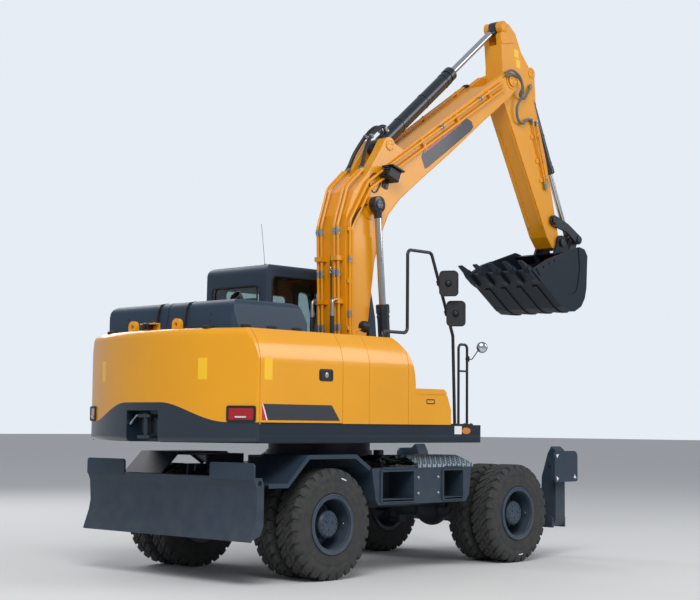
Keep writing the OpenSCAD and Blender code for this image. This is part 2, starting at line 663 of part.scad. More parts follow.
module side_door(side) {
  color(YELLOW) on_side(side) {
    translate([door_x[0], 0, 0]) rotate([90, 0, 90]) linear_extrude(door_x[1] - door_x[0]) difference() {
      side_profile(half_w - lean - 80, skirt_z1 + panel_gap);
      side_profile(half_w - lean - 81, skirt_z1, panel_t, body_z1 + 1);
    }
    translate([door_axis[0], door_axis[1], skirt_z1 - 10]) cylinder(h = 60, r = hinge_r);
  }
}
tank_y = 470;
tank_arc_r = 690;
// Half width of the engine bay's roof between the doors
roof_y = half_w - lean_r + sqrt(pow(lean_r - panel_t, 2) - pow(body_z1 - lean_z0, 2)) - panel_gap;
seam_w = 6;
module body_panels() {
  color(YELLOW) {
    // Tank block on the right, rounded off towards its front, with the seams of its panels
    on_side(-1) difference() {
      side_body(tank_y, skirt_z1, tank_x[0], tank_x[1]);
      translate([tank_x[1] - tank_arc_r, half_w + 1, 1860]) rotate([90, 0, 0])
        linear_extrude(half_w - tank_y + 2) difference() {
          square([tank_arc_r + 1, body_z1 - 1860 + 1]);
          circle(tank_arc_r, $fn = 180);
        }
      for (x = [tank_x[0] + 368, tank_x[1] - 116]) translate([x, 0, 0]) rotate([90, 0, 90])
        linear_extrude(seam_w) difference() {
          translate([half_w - 200, skirt_z1 - 1]) square([201, body_z1 - skirt_z1 - 20]);
          side_profile(half_w - 300, skirt_z1 - 2, seam_w);
        }
    }
    // Side and rear bulkhead on the left, behind the cab
    side_body(tank_y, skirt_z1, tank_x[0], cab_x0 - 20);
    // Roof of the engine bay, round the hood
    for (s = [-1, 1]) on_side(s) block([tail_x + panel_gap, hood_half_w + 20, body_z1 - 30],
                                       [hood_x[1] + panel_gap + eps, roof_y, body_z1]);
    block([hood_x[1] + panel_gap, -roof_y, body_z1 - 30], [tank_x[0] + eps, roof_y, body_z1]);
    // Hinge lugs and pins of the hood
    for (s = [-1, 1]) on_side(s) {
      cross_bar(hood_pin, hood_hinge_y - 40, hood_hinge_y + 40, hinge_r);
      for (y = [hood_hinge_y - 40, hood_hinge_y + 26])
        block([hood_pin[0] - hinge_r, y, body_z1 - eps],
              [hood_pin[0] + 20, y + 14, hood_pin[1] + hinge_r + 4]);
    }
    // Cover between tank and cab
    block([tank_x[0], -tank_y, deck_z0 + 50], [-300, cab_y0 - 20, 2000]);
  }
}
// Lower ends of the hood, its top and half its width
hood_x = [-2110, -1100];
hood_z0 = body_z1 + panel_gap;
hood_z1 = 2640;
hood_half_w = 960;
hood_pin = [hood_x[1] + 14, body_z1 + 22];
hood_hinge_y = 600;
// Joints between the hood's pressings
hood_joints = [[-290, -250], [0, 14], [135, 163]];
// The hood's form less a skin of t: its side view, its section and its plan
module hood_form(t) {
  intersection() {
    side_form(shrunk([[hood_x[0], hood_z0, 0], [hood_x[1], hood_z0, 0], [hood_x[1] - 125, hood_z1, 90],
                      [hood_x[0] + 45, hood_z1, 90]], t), -hood_half_w, hood_half_w);
    cross_form(shrunk([[-hood_half_w, hood_z0, 0], [hood_half_w, hood_z0, 0],
                       [hood_half_w - 40, hood_z1, 80], [-hood_half_w + 40, hood_z1, 80]], t),
               hood_x[0], hood_x[1]);
    translate([0, 0, hood_z0]) linear_extrude(hood_z1 - hood_z0)
      rounded(shrunk(soft([[hood_x[0], -hood_half_w], [hood_x[1], -hood_half_w], [hood_x[1], hood_half_w],
                           [hood_x[0], hood_half_w]], 90), t));
  }
}
module hood() {
  color(SLATE) {
    difference() {
      hood_form(0);
      hood_form(panel_t);
      block([hood_x[0] + 50, -hood_half_w + 50, hood_z0 - 1],
            [hood_x[1] - 50, hood_half_w - 50, hood_z0 + 60]);
      for (j = hood_joints) difference() {
        block([hood_x[0] - 1, j[0], hood_z0 + 40], [hood_x[1] - 130, j[1], hood_z1 + 1]);
        hood_form(10);
      }
    }
    for (s = [-1, 1]) on_side(s) difference() {
      union() {
        cross_bar(hood_pin, hood_hinge_y - 20, hood_hinge_y + 20, hinge_r + 5);
        block([hood_x[1] - 25, hood_hinge_y - 20, hood_pin[1]],
              [hood_pin[0], hood_hinge_y + 20, hood_pin[1] + hinge_r + 5]);
      }
      cross_bar(hood_pin, hood_hinge_y - 21, hood_hinge_y + 21, hinge_r + pin_clear);
    }
  }
}
exhaust_at = [-1460, -300];
exhaust_bend = 110;
module exhaust() {
  color(CHROME) translate([exhaust_at[0], exhaust_at[1], hood_z1]) {
    difference() {
      union() {
        cylinder(h = 8, r = 95);
        // Bent back to the rear, its mouth cut upright
        difference() {
          translate([-exhaust_bend, 0, 8 - eps]) rotate([90, 0, 0]) rotate_extrude(angle = 50)
            translate([exhaust_bend, 0]) difference() {
              circle(62);
              circle(55);
            }
          block([-400, -100, 100], [-exhaust_bend - 5, 100, 400]);
        }
      }
      translate([0, 0, -1]) cylinder(h = 8, r = 50);
    }
  }
}
tool_box_x1 = 690;
tool_box_z1 = 1850;
module tool_box() {
  color(YELLOW) difference() {
    side_form([[tank_x[1], skirt_z1, 0], [tool_box_x1, skirt_z1, 0], [tool_box_x1, 1640, 60],
               [tool_box_x1 - 90, tool_box_z1, 70], [tank_x[1], tool_box_z1, 0]], -half_w, -tank_y);
    // Joint under its lid
    difference() {
      block([tank_x[1] - 1, -half_w - 1, tool_box_z1 - 60],
            [tool_box_x1, -tank_y + 1, tool_box_z1 - 60 + seam_w]);
      block([tank_x[1] - 2, -half_w + 5, tool_box_z1 - 61],
            [tool_box_x1 - 80, -tank_y - 5, tool_box_z1 - 50]);
    }
  }
}
rail_y = -half_w + 195;
rail_r = 17;
// Slanted part of the handrail, which carries the mirrors
rail_slant = [[590, 3290], [950, 2430]];
module handrail() {
  color(BLACK) {
    bent_pipe([[tank_x[1] - 300, body_z1], [tank_x[1] - 300, 2425], [214, 2425], [214, 3290],
               rail_slant[0], rail_slant[1], [984, skirt_z1 + 5]], rail_y, rail_r, 55);
    bent_pipe([[1046, skirt_z1 + 5], [1046, 2345], [1190, 2345], [1190, skirt_z1 + 5]],
              rail_y, rail_r - 3, 45);
    block([1046, rail_y - 10, 2050], [1190, rail_y + 10, 2070]);
    block([930, rail_y - 60, skirt_z1], [1220, rail_y + 60, skirt_z1 + 12]);
  }
}
mirror_y = rail_y - 150;
module mirrors() {
  color(BLACK) for (m = [[0.36, 700, 2965], [0.72, 820, 2655]]) {
    p = rail_slant[0] + (rail_slant[1] - rail_slant[0]) * m[0];
    translate([m[1], mirror_y, m[2]]) rotate([0, 0, 30])
      cross_form(soft([[-100, -135], [100, -135], [100, 135], [-100, 135]], 45), -20, 20);
    // Clamp round the rail, and the arm that stands out from it
    along(p, rail_slant[1], rail_y) difference() {
      cylinder(h = 50, r = rail_r + 10, center = true);
      cylinder(h = 60, r = rail_r + pin_clear, center = true);
    }
    bar([m[1], mirror_y, m[2]], [p[0], rail_y - rail_r - 5, p[1]], 10);
  }
}

// Cab

// Side view of the cab, [x, z, radius]
cab_side = [[cab_x0, skirt_z1, 0], [deck_front_x - 20, skirt_z1, 0], [deck_front_x, 2200, 0],
            [1180, 2700, 0], [1060, cab_z1, 110], [cab_x0 + 25, cab_z1, 100]];
cab_corner_r = 60;
window_r = 55;
door_frame = [[-370, skirt_z1 + 60], [520, skirt_z1 + 60], [700, 2000], [760, cab_z1 - 140],
              [-370, cab_z1 - 140]];
cab_door_axis = [door_frame[0][0] + panel_gap + hinge_r + 2, half_w - hinge_r - 2];
right_window = [[-440, 2380], [1080, 2380], [1060, 2660], [960, cab_z1 - 130], [-440, cab_z1 - 130]];
front_left_window = [[800, 2050], [1130, 2050], [1110, 2600], [1020, cab_z1 - 180], [840, cab_z1 - 150]];
rear_window = [[cab_y0 + 110, 2460], [half_w - 110, 2460], [half_w - 110, cab_z1 - 230],
               [cab_y0 + 110, cab_z1 - 230]];
front_window = [[cab_y0 + 70, 1900], [half_w - 70, 1900], [half_w - 70, cab_z1 - 150],
                [cab_y0 + 70, cab_z1 - 150]];
module cab_shell() {
  color(SLATE) difference() {
    intersection() {
      side_form(cab_side, cab_y0, half_w);
      cross_form([[cab_y0, skirt_z1, 0], [half_w, skirt_z1, 0], [half_w, cab_z1, cab_corner_r],
                  [cab_y0, cab_z1, cab_corner_r]], cab_x0 - 1, deck_front_x + 1);
    }
    side_form(shrunk(cab_side, cab_t), cab_y0 + cab_t, half_w - cab_t);
    side_form(soft(right_window, window_r), cab_y0 - 1, cab_y0 + cab_t + 1);
    side_form(soft(front_left_window, window_r), half_w - cab_t - 1, half_w + 1);
    side_form(soft(door_frame, window_r), half_w - cab_t - 1, half_w + 1);
    cross_form(soft(rear_window, window_r), cab_x0 - 1, cab_x0 + cab_t + 30);
    cross_form(soft(front_window, window_r), 900, deck_front_x + 1);
    block([-250, cab_y0 + 170, cab_z1 - cab_t - 1], [550, half_w - 170, cab_z1 + 1]);
    // Socket of the door's pin, and room for the door's edge to turn by the rounded corners
    translate([cab_door_axis[0], cab_door_axis[1], door_frame[0][1] - 12]) {
      cylinder(h = 20, r = hinge_r + pin_clear);
      translate([0, 0, 13]) cylinder(h = door_frame[3][1] - door_frame[0][1] - 2, r = 1.5 * (hinge_r + 2));
    }
  }
}
module cab_glass() {
  m = cab_t / 2 - glass_t / 2;
  color("lightblue", 0.4) {
    side_form(soft(right_window, window_r), cab_y0 + m, cab_y0 + m + glass_t);
    side_form(soft(front_left_window, window_r), half_w - m - glass_t, half_w - m);
    cross_form(soft(rear_window, window_r), cab_x0 + m, cab_x0 + m + glass_t);
    block([-250, cab_y0 + 170, cab_z1 - m - glass_t], [550, half_w - 170, cab_z1 - m]);
    // Windscreen follows the cab's front
    intersection() {
      side_plate(sheet([for (i = [1 : 4]) mitre([for (p = cab_side) xy(p)], i, m, true)], glass_t),
                 cab_y0, half_w);
      cross_form(soft(front_window, window_r), 900, deck_front_x + 1);
    }
  }
}
module cab_interior() {
  cy = (cab_y0 + half_w) / 2;
  z0 = skirt_z1 + cab_t;
  color(BLACK) {
    block([-420, cy - 180, z0], [260, cy + 180, z0 + 280]);
    block([-330, cy - 250, z0 + 280 - eps], [250, cy + 250, z0 + 420]);
    side_plate([[-330, z0 + 420 - eps], [-200, z0 + 420 - eps], [-290, z0 + 1080], [-400, z0 + 1080]],
               cy - 230, cy + 230);
    side_plate([[-345, z0 + 1090], [-300, z0 + 1090], [-330, z0 + 1300], [-390, z0 + 1300]],
               cy - 130, cy + 130);
    block([-360, cy - 60, z0 + 1070], [-330, cy + 60, z0 + 1100]);
    for (s = [-1, 1]) block([-200, cy + s * 310 - 60, z0], [300, cy + s * 310 + 60, z0 + 640]);
    side_plate([[820, z0], [900, z0], [740, z0 + 760], [680, z0 + 740]], cy - 60, cy + 60);
    block([600, cy - 170, z0 + 745], [780, cy + 170, z0 + 775]);
  }
}
module cab_door() {
  color(SLATE) difference() {
    side_form(shrunk(soft(door_frame, window_r), panel_gap), half_w - cab_t, half_w);
    side_form(soft(inset(door_frame, 90), window_r), half_w - cab_t - 1, half_w + 1);
  }
  color(SLATE) translate([cab_door_axis[0], cab_door_axis[1], door_frame[0][1] - 10])
    cylinder(h = 60, r = hinge_r);
}
module cab_door_glass() {
  m = cab_t / 2 - glass_t / 2;
  color("lightblue", 0.4) side_form(soft(inset(door_frame, 90), window_r),
    half_w - m - glass_t, half_w - m);
}
lamp_w = 240;
lamp_h = 110;
lamp_t = 20;
lamp_outline = soft([[-lamp_w / 2, -lamp_h / 2], [lamp_w / 2, -lamp_h / 2], [lamp_w / 2, lamp_h / 2],
                     [-lamp_w / 2, lamp_h / 2]], 14);
module lamps() {
  color("firebrick") for (s = [-1, 1]) at_tail_lamp(s) cross_form(lamp_outline, -8, lamp_t);
}

// Boom

boom_outline = [[135, 1800], [100, 2450], [70, 3300], [85, 3720], [200, 3990], [400, 4190], [1000, 4540],
                [2830, 5745], [3060, 5700], [3075, 5590], [2950, 5475], [2431, 5098], [1825, 4633],
                [1321, 4269], [934, 3979], [744, 3782], [638, 3570], [527, 3258], [413, 2495], [370, 1800]];
doubler_t = 8;
module boom() {
  color(YELLOW) translate([0, boom_y, 0]) difference() {
    union() {
      side_plate(boom_outline, -boom_w / 2, boom_w / 2);
      cross_bar(foot_pin, -boom_w / 2, boom_w / 2, 130);
      cross_bar(tip_pin, -boom_w / 2, boom_w / 2, 120);
      // Ears of the arm cylinder
      for (s = [-1, 1]) on_side(s) side_plate(concat([[470, 4200], [400, 4190], [610, 4480]],
        arc(arm_cyl_foot, 90, 140, 20, 6), [[1000, 4540], [900, 4440]]), 75 + side_clear, boom_w / 2);
      // Bosses that face the boom cylinders' eyes, on reinforcing discs
      cross_bar(boom_cyl_eye, -boom_cyl_y + 38 + 2 * side_clear, boom_cyl_y - 38 - 2 * side_clear, 95);
      cross_bar(boom_cyl_eye, -boom_w / 2 - doubler_t, boom_w / 2 + doubler_t, 160);
      // Doublers on both sides of the lower part, arched at their top
      intersection() {
        side_plate(inset(boom_outline, -20), -boom_w / 2 - doubler_t, boom_w / 2 + doubler_t);
        side_form([[0, 2260, 40], [520, 2260, 40], [600, 3520, 200], [0, 3520, 200]], -boom_w, boom_w);
      }
      // Cheeks round the pin at the tip
      cross_bar(tip_pin, -boom_w / 2 - doubler_t, boom_w / 2 + doubler_t, 105);
    }
    cross_bar(foot_pin, -boom_w, boom_w, pin_r + pin_clear);
    cross_bar(tip_pin, -boom_w, boom_w, pin_r);
    cross_bar(tip_pin, -arm_w / 2 - side_clear, arm_w / 2 + side_clear, 480);
  }
  color(YELLOW) translate([0, boom_y, 0]) {
    cross_bar(tip_pin, -boom_w / 2 - doubler_t - 6, boom_w / 2 + doubler_t + 6, pin_r);
    cross_bar(arm_cyl_foot, -80 - side_clear, 80 + side_clear, 40);
  }
}
// Back edge of the boom's lower part, x at height z
function boom_back(z) = lookup(z, [[1800, 135], [2450, 100], [3300, 70], [3720, 85]]);
// Pipes up the boom's back and along its right side, and how far the latter stand out
back_pipe = [[45, 2200], [5, 3600], [150, 4035], [390, 4250]];
flank_pipe = [[130, 2200], [112, 3650], [400, 4110], [2760, 5610]];
flank_rise = atan2(5610 - 4110, 2760 - 400);
second_pipe = [38, -70];
pipe_out = boom_w / 2 + pipe_r + 12;
// Saddle on the boom's side, which stands out by seat there, at point p, along a pipe that
// rises by a, from lo to hi across it
module saddle(p, a, lo, hi, seat = 0) {
  translate([p[0], boom_y - pipe_out - 4, p[1]]) rotate([0, -a, 0]) translate([-20, 0, lo])
    cube([40, pipe_out + 4 - boom_w / 2 - seat, hi - lo]);
}
module boom_pipes() {
  color(YELLOW) {
    for (y = [-150, -95, 95, 150]) bent_pipe(back_pipe, boom_y + y, pipe_r, 120);
    for (d = [[0, 0], second_pipe]) bent_pipe([for (p = flank_pipe) p + d], boom_y - pipe_out, pipe_r, 120);
    for (z = [2300, 2760, 3220], s = [-1, 1])
      side_plate([[boom_back(z) - 92, z], [boom_back(z), z], [boom_back(z + 50), z + 50],
                  [boom_back(z + 50) - 92, z + 50]], boom_y + s * 122 - 48, boom_y + s * 122 + 48);
    for (z = [2500, 3000]) saddle([120, z], 90, -65, 30, doubler_t);
    saddle([116, 3560], 90, -65, 30);
    for (x = [700, 1300, 1900, 2500])
      saddle([x, flank_pipe[2][1] + (x - flank_pipe[2][0]) * tan(flank_rise)], flank_rise, -102, 22);
  }
}
boom_barrel_l = 1275;
module cylinder_barrel(l, r, rod, eye_r, eye_w, bore) {
  difference() {
    union() {
      cylinder(h = eye_r + 20, r = eye_w / 2);
      translate([0, 0, eye_r + 15]) cylinder(h = l - eye_r - 15, r = r);
      translate([0, 0, l - 90]) cylinder(h = 90, r = r + 8);
      rotate([90, 0, 0]) cylinder(h = eye_w, r = eye_r, center = true);
    }
    rotate([90, 0, 0]) cylinder(h = eye_w + 2, r = bore + pin_clear, center = true);
    translate([0, 0, eye_r + 30]) cylinder(h = l, r = rod + pin_clear);
  }
}
module cylinder_rod(start, l, rod, eye_r, eye_w) {
  translate([0, 0, start]) cylinder(h = l - start, r = rod);
  translate([0, 0, l]) rotate([90, 0, 0]) cylinder(h = eye_w, r = eye_r, center = true);
}
boom_cyl_l = norm(boom_cyl_eye - boom_cyl_foot);
module boom_barrels() {
  color(BLACK) for (s = [-1, 1]) along(boom_cyl_foot, boom_cyl_eye, boom_y + s * boom_cyl_y)
    cylinder_barrel(boom_barrel_l, boom_cyl_r, boom_rod_r, 70, 76, 35);
}
module boom_rods() {
  color(CHROME) for (s = [-1, 1]) along(boom_cyl_foot, boom_cyl_eye, boom_y + s * boom_cyl_y)
    cylinder_rod(880, boom_cyl_l, boom_rod_r, 88, 76);
}
arm_cyl_l = norm(arm_cyl_eye - arm_cyl_foot);
arm_barrel_l = 1672;
module arm_barrel() {
  color(BLACK) along(arm_cyl_foot, arm_cyl_eye, boom_y)
    cylinder_barrel(arm_barrel_l, arm_cyl_r, arm_rod_r, 85, 150, 40);
}
module arm_rod() {
  color(CHROME) along(arm_cyl_foot, arm_cyl_eye, boom_y) cylinder_rod(1070, arm_cyl_l, arm_rod_r, 75, 100);
}

// Arm

arm_outline = [[2850, 6250], [2885, 5840], [2905, 5435], [3790, 3840], [3900, 3715], [4060, 3700],
               [4140, 3800], [4019, 3900], [3767, 4811], [3500, 5560], [3409, 5944], [3256, 6093],
               [3143, 6305], [3000, 6400]];
arm_strip = [for (t = [0.92, 0.2]) [2905, 5435] + ([3790, 3840] - [2905, 5435]) * t];
module arm() {
  color(YELLOW) translate([0, boom_y, 0]) {
    difference() {
      union() {
        side_plate(arm_outline, -arm_w / 2, arm_w / 2);
        cross_bar(arm_cyl_eye, -arm_w / 2, arm_w / 2, 75);
        cross_bar(bucket_pin, -arm_w / 2, arm_w / 2, 92);
        for (s = [-1, 1]) on_side(s) side_plate(concat([[3300, 5700], [3560, 5500]],
          arc(bucket_cyl_foot, 80, -30, 130, 6)), 62 + side_clear, arm_w / 2);
      }
      // Forks round the arm cylinder's rod eye, deep enough for its drift
      cross_bar(arm_cyl_eye, -50 - side_clear, 50 + side_clear, 230);
      cross_bar(tip_pin, -arm_w, arm_w, pin_r + pin_clear);
      cross_bar(bucket_pin, -arm_w, arm_w, 38 + pin_clear);
      cross_bar(link_arm_pin, -arm_w, arm_w, 32);
      // Well round the bucket cylinder's base eye
      cross_bar(bucket_cyl_foot, -62 - side_clear, 62 + side_clear, 185);
    }
    // Strips along the rear face, and ribs under the top fork
    for (y = [-arm_w / 2 + 12, arm_w / 2 - 52]) side_plate(sheet(arm_strip, 14), y, y + 40);
    for (s = [-1, 1]) on_side(s) side_plate([[2866, 6130], [3110, 6180], [3090, 6215], [2860, 6165]],
                                            arm_w / 2 - eps, arm_w / 2 + 10);
    cross_bar(bucket_cyl_foot, -62 - side_clear, 62 + side_clear, 34);
    cross_bar(link_arm_pin, -arm_w / 2 - side_clear - 45, arm_w / 2 + side_clear + 45, 32);
  }
}
bucket_cyl_l = norm(link_rod_pin - bucket_cyl_foot);
bucket_barrel_l = 1302;
module bucket_barrel() {
  color(BLACK) along(bucket_cyl_foot, link_rod_pin, boom_y)
    cylinder_barrel(bucket_barrel_l, bucket_cyl_r, bucket_rod_r, 72, 124, 34);
}
module bucket_rod() {
  color(CHROME) along(bucket_cyl_foot, link_rod_pin, boom_y)
    cylinder_rod(1130, bucket_cyl_l, bucket_rod_r, 68, 90);
}

// Outline of a bar with round ends r and s, bent to its left by b at its middle
function bent_link(p, q, r, s, b) =
  let (d = unit(q - p), n = left(d), m = (p + q) / 2 + n * b, a = atan2(d[1], d[0]))
  concat([m - n * 0.9 * s], arc(q, s, a - 90, a + 90, 8), [m + n * 0.9 * s], arc(p, r, a + 90, a + 270, 8));
link_y = arm_w / 2 + side_clear;
module tipping_links() {
  color(STEEL) for (s = [-1, 1]) translate([0, boom_y, 0]) on_side(s) {
    difference() {
      side_plate(bent_link(link_arm_pin, link_rod_pin, 68, 60, 35), link_y, link_y + 36);
      cross_bar(link_arm_pin, link_y - 1, link_y + 50, 32 + pin_clear);
    }
    cross_bar(link_rod_pin, link_y - 24, link_y + 46, 52);
  }
}
module bucket_link() {
  color(STEEL) translate([0, boom_y, 0]) difference() {
    union() {
      for (s = [-1, 1]) on_side(s)
        side_plate(bent_link(link_rod_pin, link_bucket_pin, 58, 70, 0), 45 + side_clear, link_y - 30);
      cross_bar(link_bucket_pin, -link_y + 30, link_y - 30, 68);
    }
    cross_bar(link_bucket_pin, -200, 200, 36 + pin_clear);
  }
}

// Bucket

bucket_side = [[2974, 3330], [3214, 3172], [3574, 2932], [3688, 2888], [3844, 2892], [3984, 2963],
               [4060, 3070], [4096, 3202], [4112, 3493], [4120, 3600], [4060, 3680], [3950, 3699],
               [3290, 3491]];
bucket_shell = [for (i = [0 : 9]) bucket_side[i]];
ear_y = arm_w / 2 + side_clear;
// A tooth's holder wraps the lip, and its tip points out of it
tooth_holder = [[3130, 3262], [3010, 3352], [2930, 3392], [2905, 3352], [2950, 3300], [3060, 3228],
                [3150, 3190]];
tooth_tip = [[2935, 3388], [2800, 3440], [2790, 3428], [2908, 3340]];
module bucket() {
  color(STEEL) translate([0, boom_y, 0]) {
    side_plate(sheet(bucket_shell, bucket_t), -bucket_w / 2, bucket_w / 2);
    for (s = [-1, 1]) on_side(s) {
      side_plate(bucket_side, bucket_w / 2 - bucket_t, bucket_w / 2);
      // Wear plate along the heel of each side, and the side cutter at its lip
      difference() {
        side_plate(bucket_side, bucket_w / 2 - eps, bucket_w / 2 + 10);
        side_form([[3080, 3420, 60], [3560, 3110, 200], [3880, 3080, 160], [3960, 3420, 60],
                   [3930, 3720, 0], [3300, 3600, 0]], bucket_w / 2 - 1, bucket_w / 2 + 11);
      }
      difference() {
        side_plate([[3040, 3362], [3290, 3491], [3480, 3551], [3440, 3450], [3200, 3330], [3120, 3280]],
                   bucket_w / 2 - eps, bucket_w / 2 + 22);
        for (p = [[3180, 3385], [3290, 3440], [3400, 3480]])
          cross_bar(p, bucket_w / 2 - 1, bucket_w / 2 + 23, 14);
      }
      side_plate(concat([[3900, 3640], [4100, 3300]], arc(link_bucket_pin, 85, -60, 60, 6),
                        arc(bucket_pin, 95, 50, 190, 8)), ear_y, ear_y + 30);
    }
    side_plate([[3930, 3640], [4100, 3560], [4110, 3600], [4040, 3670]], -bucket_w / 2, bucket_w / 2);
    for (i = [0 : teeth - 1]) let (y = -bucket_w / 2 + 45 + i * (bucket_w - 90) / (teeth - 1)) {
      side_plate(tooth_holder, y - 40, y + 40);
      side_plate(tooth_tip, y - 30, y + 30);
    }
    // Wear bands round the outside of the shell
    for (y = [-0.36, -0.12, 0.12, 0.36]) side_plate(sheet([for (i = [1 : 7]) bucket_side[i]], -12),
      y * bucket_w - 35, y * bucket_w + 35);
    cross_bar(bucket_pin, -ear_y - 50, ear_y + 50, 38);
    cross_bar(link_bucket_pin, -ear_y - 50, ear_y + 50, 36);
  }
}

chassis_frame();
rear_axle();
front_axle();
swing_ring();
fenders();
side_boxes();
step_treads();
outrigger_frame();
blade();
blade_barrels();
blade_rods();
knuckle(1);  // knuckle_left
knuckle(-1);  // knuckle_right
at_axle(true) tyres(1);  // tyres_front_left
at_axle(true) tyres(-1);  // tyres_front_right
at_axle(false) tyres(1);  // tyres_rear_left
at_axle(false) tyres(-1);  // tyres_rear_right
at_axle(true) rims(1);  // rims_front_left
at_axle(true) rims(-1);  // rims_front_right
at_axle(false) rims(1);  // rims_rear_left
at_axle(false) rims(-1);  // rims_rear_right
outrigger(1);  // outrigger_left
outrigger(-1);  // outrigger_right
outrigger_barrel(1);  // outrigger_barrel_left
outrigger_barrel(-1);  // outrigger_barrel_right
outrigger_rod(1);  // outrigger_rod_left
outrigger_rod(-1);  // outrigger_rod_right
deck();
counterweight();
engine_block();
body_panels();
hood();
side_door(-1);  // side_door_right
side_door(1);  // side_door_left
exhaust();
tool_box();
handrail();
mirrors();
cab_shell();
cab_glass();
cab_interior();
cab_door();
cab_door_glass();
lamps();
boom();
boom_pipes();
boom_barrels();
boom_rods();
arm();
arm_barrel();
arm_rod();
bucket_barrel();
bucket_rod();
tipping_links();
bucket_link();
bucket();
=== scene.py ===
"""Looks of a wheeled excavator: its paints, its small trim and a plain studio, in metres."""
import json
import math

import bpy
from mathutils import Matrix, Vector


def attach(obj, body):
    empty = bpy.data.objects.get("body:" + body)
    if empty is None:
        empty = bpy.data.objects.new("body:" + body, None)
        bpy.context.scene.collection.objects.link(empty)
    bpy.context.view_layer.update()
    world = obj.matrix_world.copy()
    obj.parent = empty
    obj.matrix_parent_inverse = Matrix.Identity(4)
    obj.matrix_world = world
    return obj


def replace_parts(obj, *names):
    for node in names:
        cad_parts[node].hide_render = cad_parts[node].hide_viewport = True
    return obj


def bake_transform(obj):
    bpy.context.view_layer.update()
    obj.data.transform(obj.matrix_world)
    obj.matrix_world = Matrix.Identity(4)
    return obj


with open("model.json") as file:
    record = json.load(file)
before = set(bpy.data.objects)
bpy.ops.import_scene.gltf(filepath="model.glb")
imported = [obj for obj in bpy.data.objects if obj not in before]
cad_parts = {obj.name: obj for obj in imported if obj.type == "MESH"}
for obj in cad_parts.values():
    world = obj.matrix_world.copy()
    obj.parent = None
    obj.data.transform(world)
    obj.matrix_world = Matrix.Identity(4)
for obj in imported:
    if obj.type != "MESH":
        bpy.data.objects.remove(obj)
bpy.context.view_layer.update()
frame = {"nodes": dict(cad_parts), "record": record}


def colour(code):
    """Linear RGBA of an sRGB hex code."""
    parts = [int(code[i : i + 2], 16) / 255 for i in (1, 3, 5)]
    linear = [c / 12.92 if c <= 0.04045 else ((c + 0.055) / 1.055) ** 2.4 for c in parts]
    return linear + [1]


def add(tree, kind, inputs=None, **settings):
    """Adds a node with its settings. An input takes a value, or the output that feeds it."""
    node = tree.nodes.new(kind)
    for name, value in settings.items():
        setattr(node, name, value)
    for name, value in (inputs or {}).items():
        if isinstance(value, bpy.types.NodeSocket):
            tree.links.new(value, node.inputs[name])
        else:
            node.inputs[name].default_value = value
    return node


def material(name, **surface):
    """A new material with one Principled surface; words in surface are its inputs' names."""
    made = bpy.data.materials.new(name)
    made.use_nodes = True
    tree = made.node_tree
    shader = tree.nodes["Principled BSDF"]
    for word, value in surface.items():
        shader.inputs[word.replace("_", " ")].default_value = value
    return made, tree, shader


def place_on(tree):
    """The spot on the machine that is shaded, in metres."""
    return add(tree, "ShaderNodeTexCoord").outputs["Object"]


def share_of(tree, value, low, high):
    """0 where value is low or less, 1 where it is high or more."""
    return add(
        tree, "ShaderNodeMapRange", {"Value": value, "From Min": low, "From Max": high}
    ).outputs["Result"]


def mixed(tree, share, first, second):
    """Colour between first and second, each a hex code or an output."""
    inputs = {"Factor": share}
    for word, given in (("A", first), ("B", second)):
        inputs[word] = colour(given) if isinstance(given, str) else given
    return add(tree, "ShaderNodeMix", inputs, data_type="RGBA").outputs["Result"]


def patches(tree, size_mm, spread=0.5, detail=4.0):
    """Soft cloudy share, in patches of about size_mm."""
    cloud = add(
        tree, "ShaderNodeTexNoise", {"Vector": place_on(tree), "Scale": 1000 / size_mm, "Detail": detail}
    ).outputs["Fac"]
    return share_of(tree, cloud, 0.5 - spread / 2, 0.5 + spread / 2)


def dusted(tree, shade, code, top_m, most):
    """Road dust over a shade: most near the ground, none above top_m."""
    height = add(tree, "ShaderNodeSeparateXYZ", {"Vector": place_on(tree)}).outputs["Z"]
    low = share_of(tree, height, top_m, 0.0)
    spots = patches(tree, 140, 0.7)
    amount = add(tree, "ShaderNodeMath", {0: low, 1: spots}, operation="MULTIPLY").outputs[0]
    amount = add(tree, "ShaderNodeMath", {0: amount, 1: most}, operation="MULTIPLY").outputs[0]
    return mixed(tree, amount, shade, code)


def ripple(tree, shader, size_mm, height_mm, detail=1.0):
    """A faint unevenness of the surface."""
    cloud = add(
        tree, "ShaderNodeTexNoise", {"Vector": place_on(tree), "Scale": 1000 / size_mm, "Detail": detail}
    ).outputs["Fac"]
    bump = add(tree, "ShaderNodeBump", {"Height": cloud, "Distance": height_mm / 1000, "Strength": 1.0})
    tree.links.new(bump.outputs["Normal"], shader.inputs["Normal"])


def sprayed_enamel(name, code, darker, gloss=0.28, coat=0.6, dust=0.0, shine=0.5):
    """Two-pack enamel sprayed on steel: an even colour under a clear shine, with orange peel."""
    made, tree, shader = material(
        name, Roughness=gloss, Coat_Weight=coat, Coat_Roughness=0.08, IOR=1.5, Specular_IOR_Level=shine
    )
    shade = mixed(tree, patches(tree, 900), code, darker)
    if dust:
        shade = dusted(tree, shade, "#8c8478", 1.3, dust)
    tree.links.new(shade, shader.inputs["Base Color"])
    ripple(tree, shader, 14, 0.12)
    return made


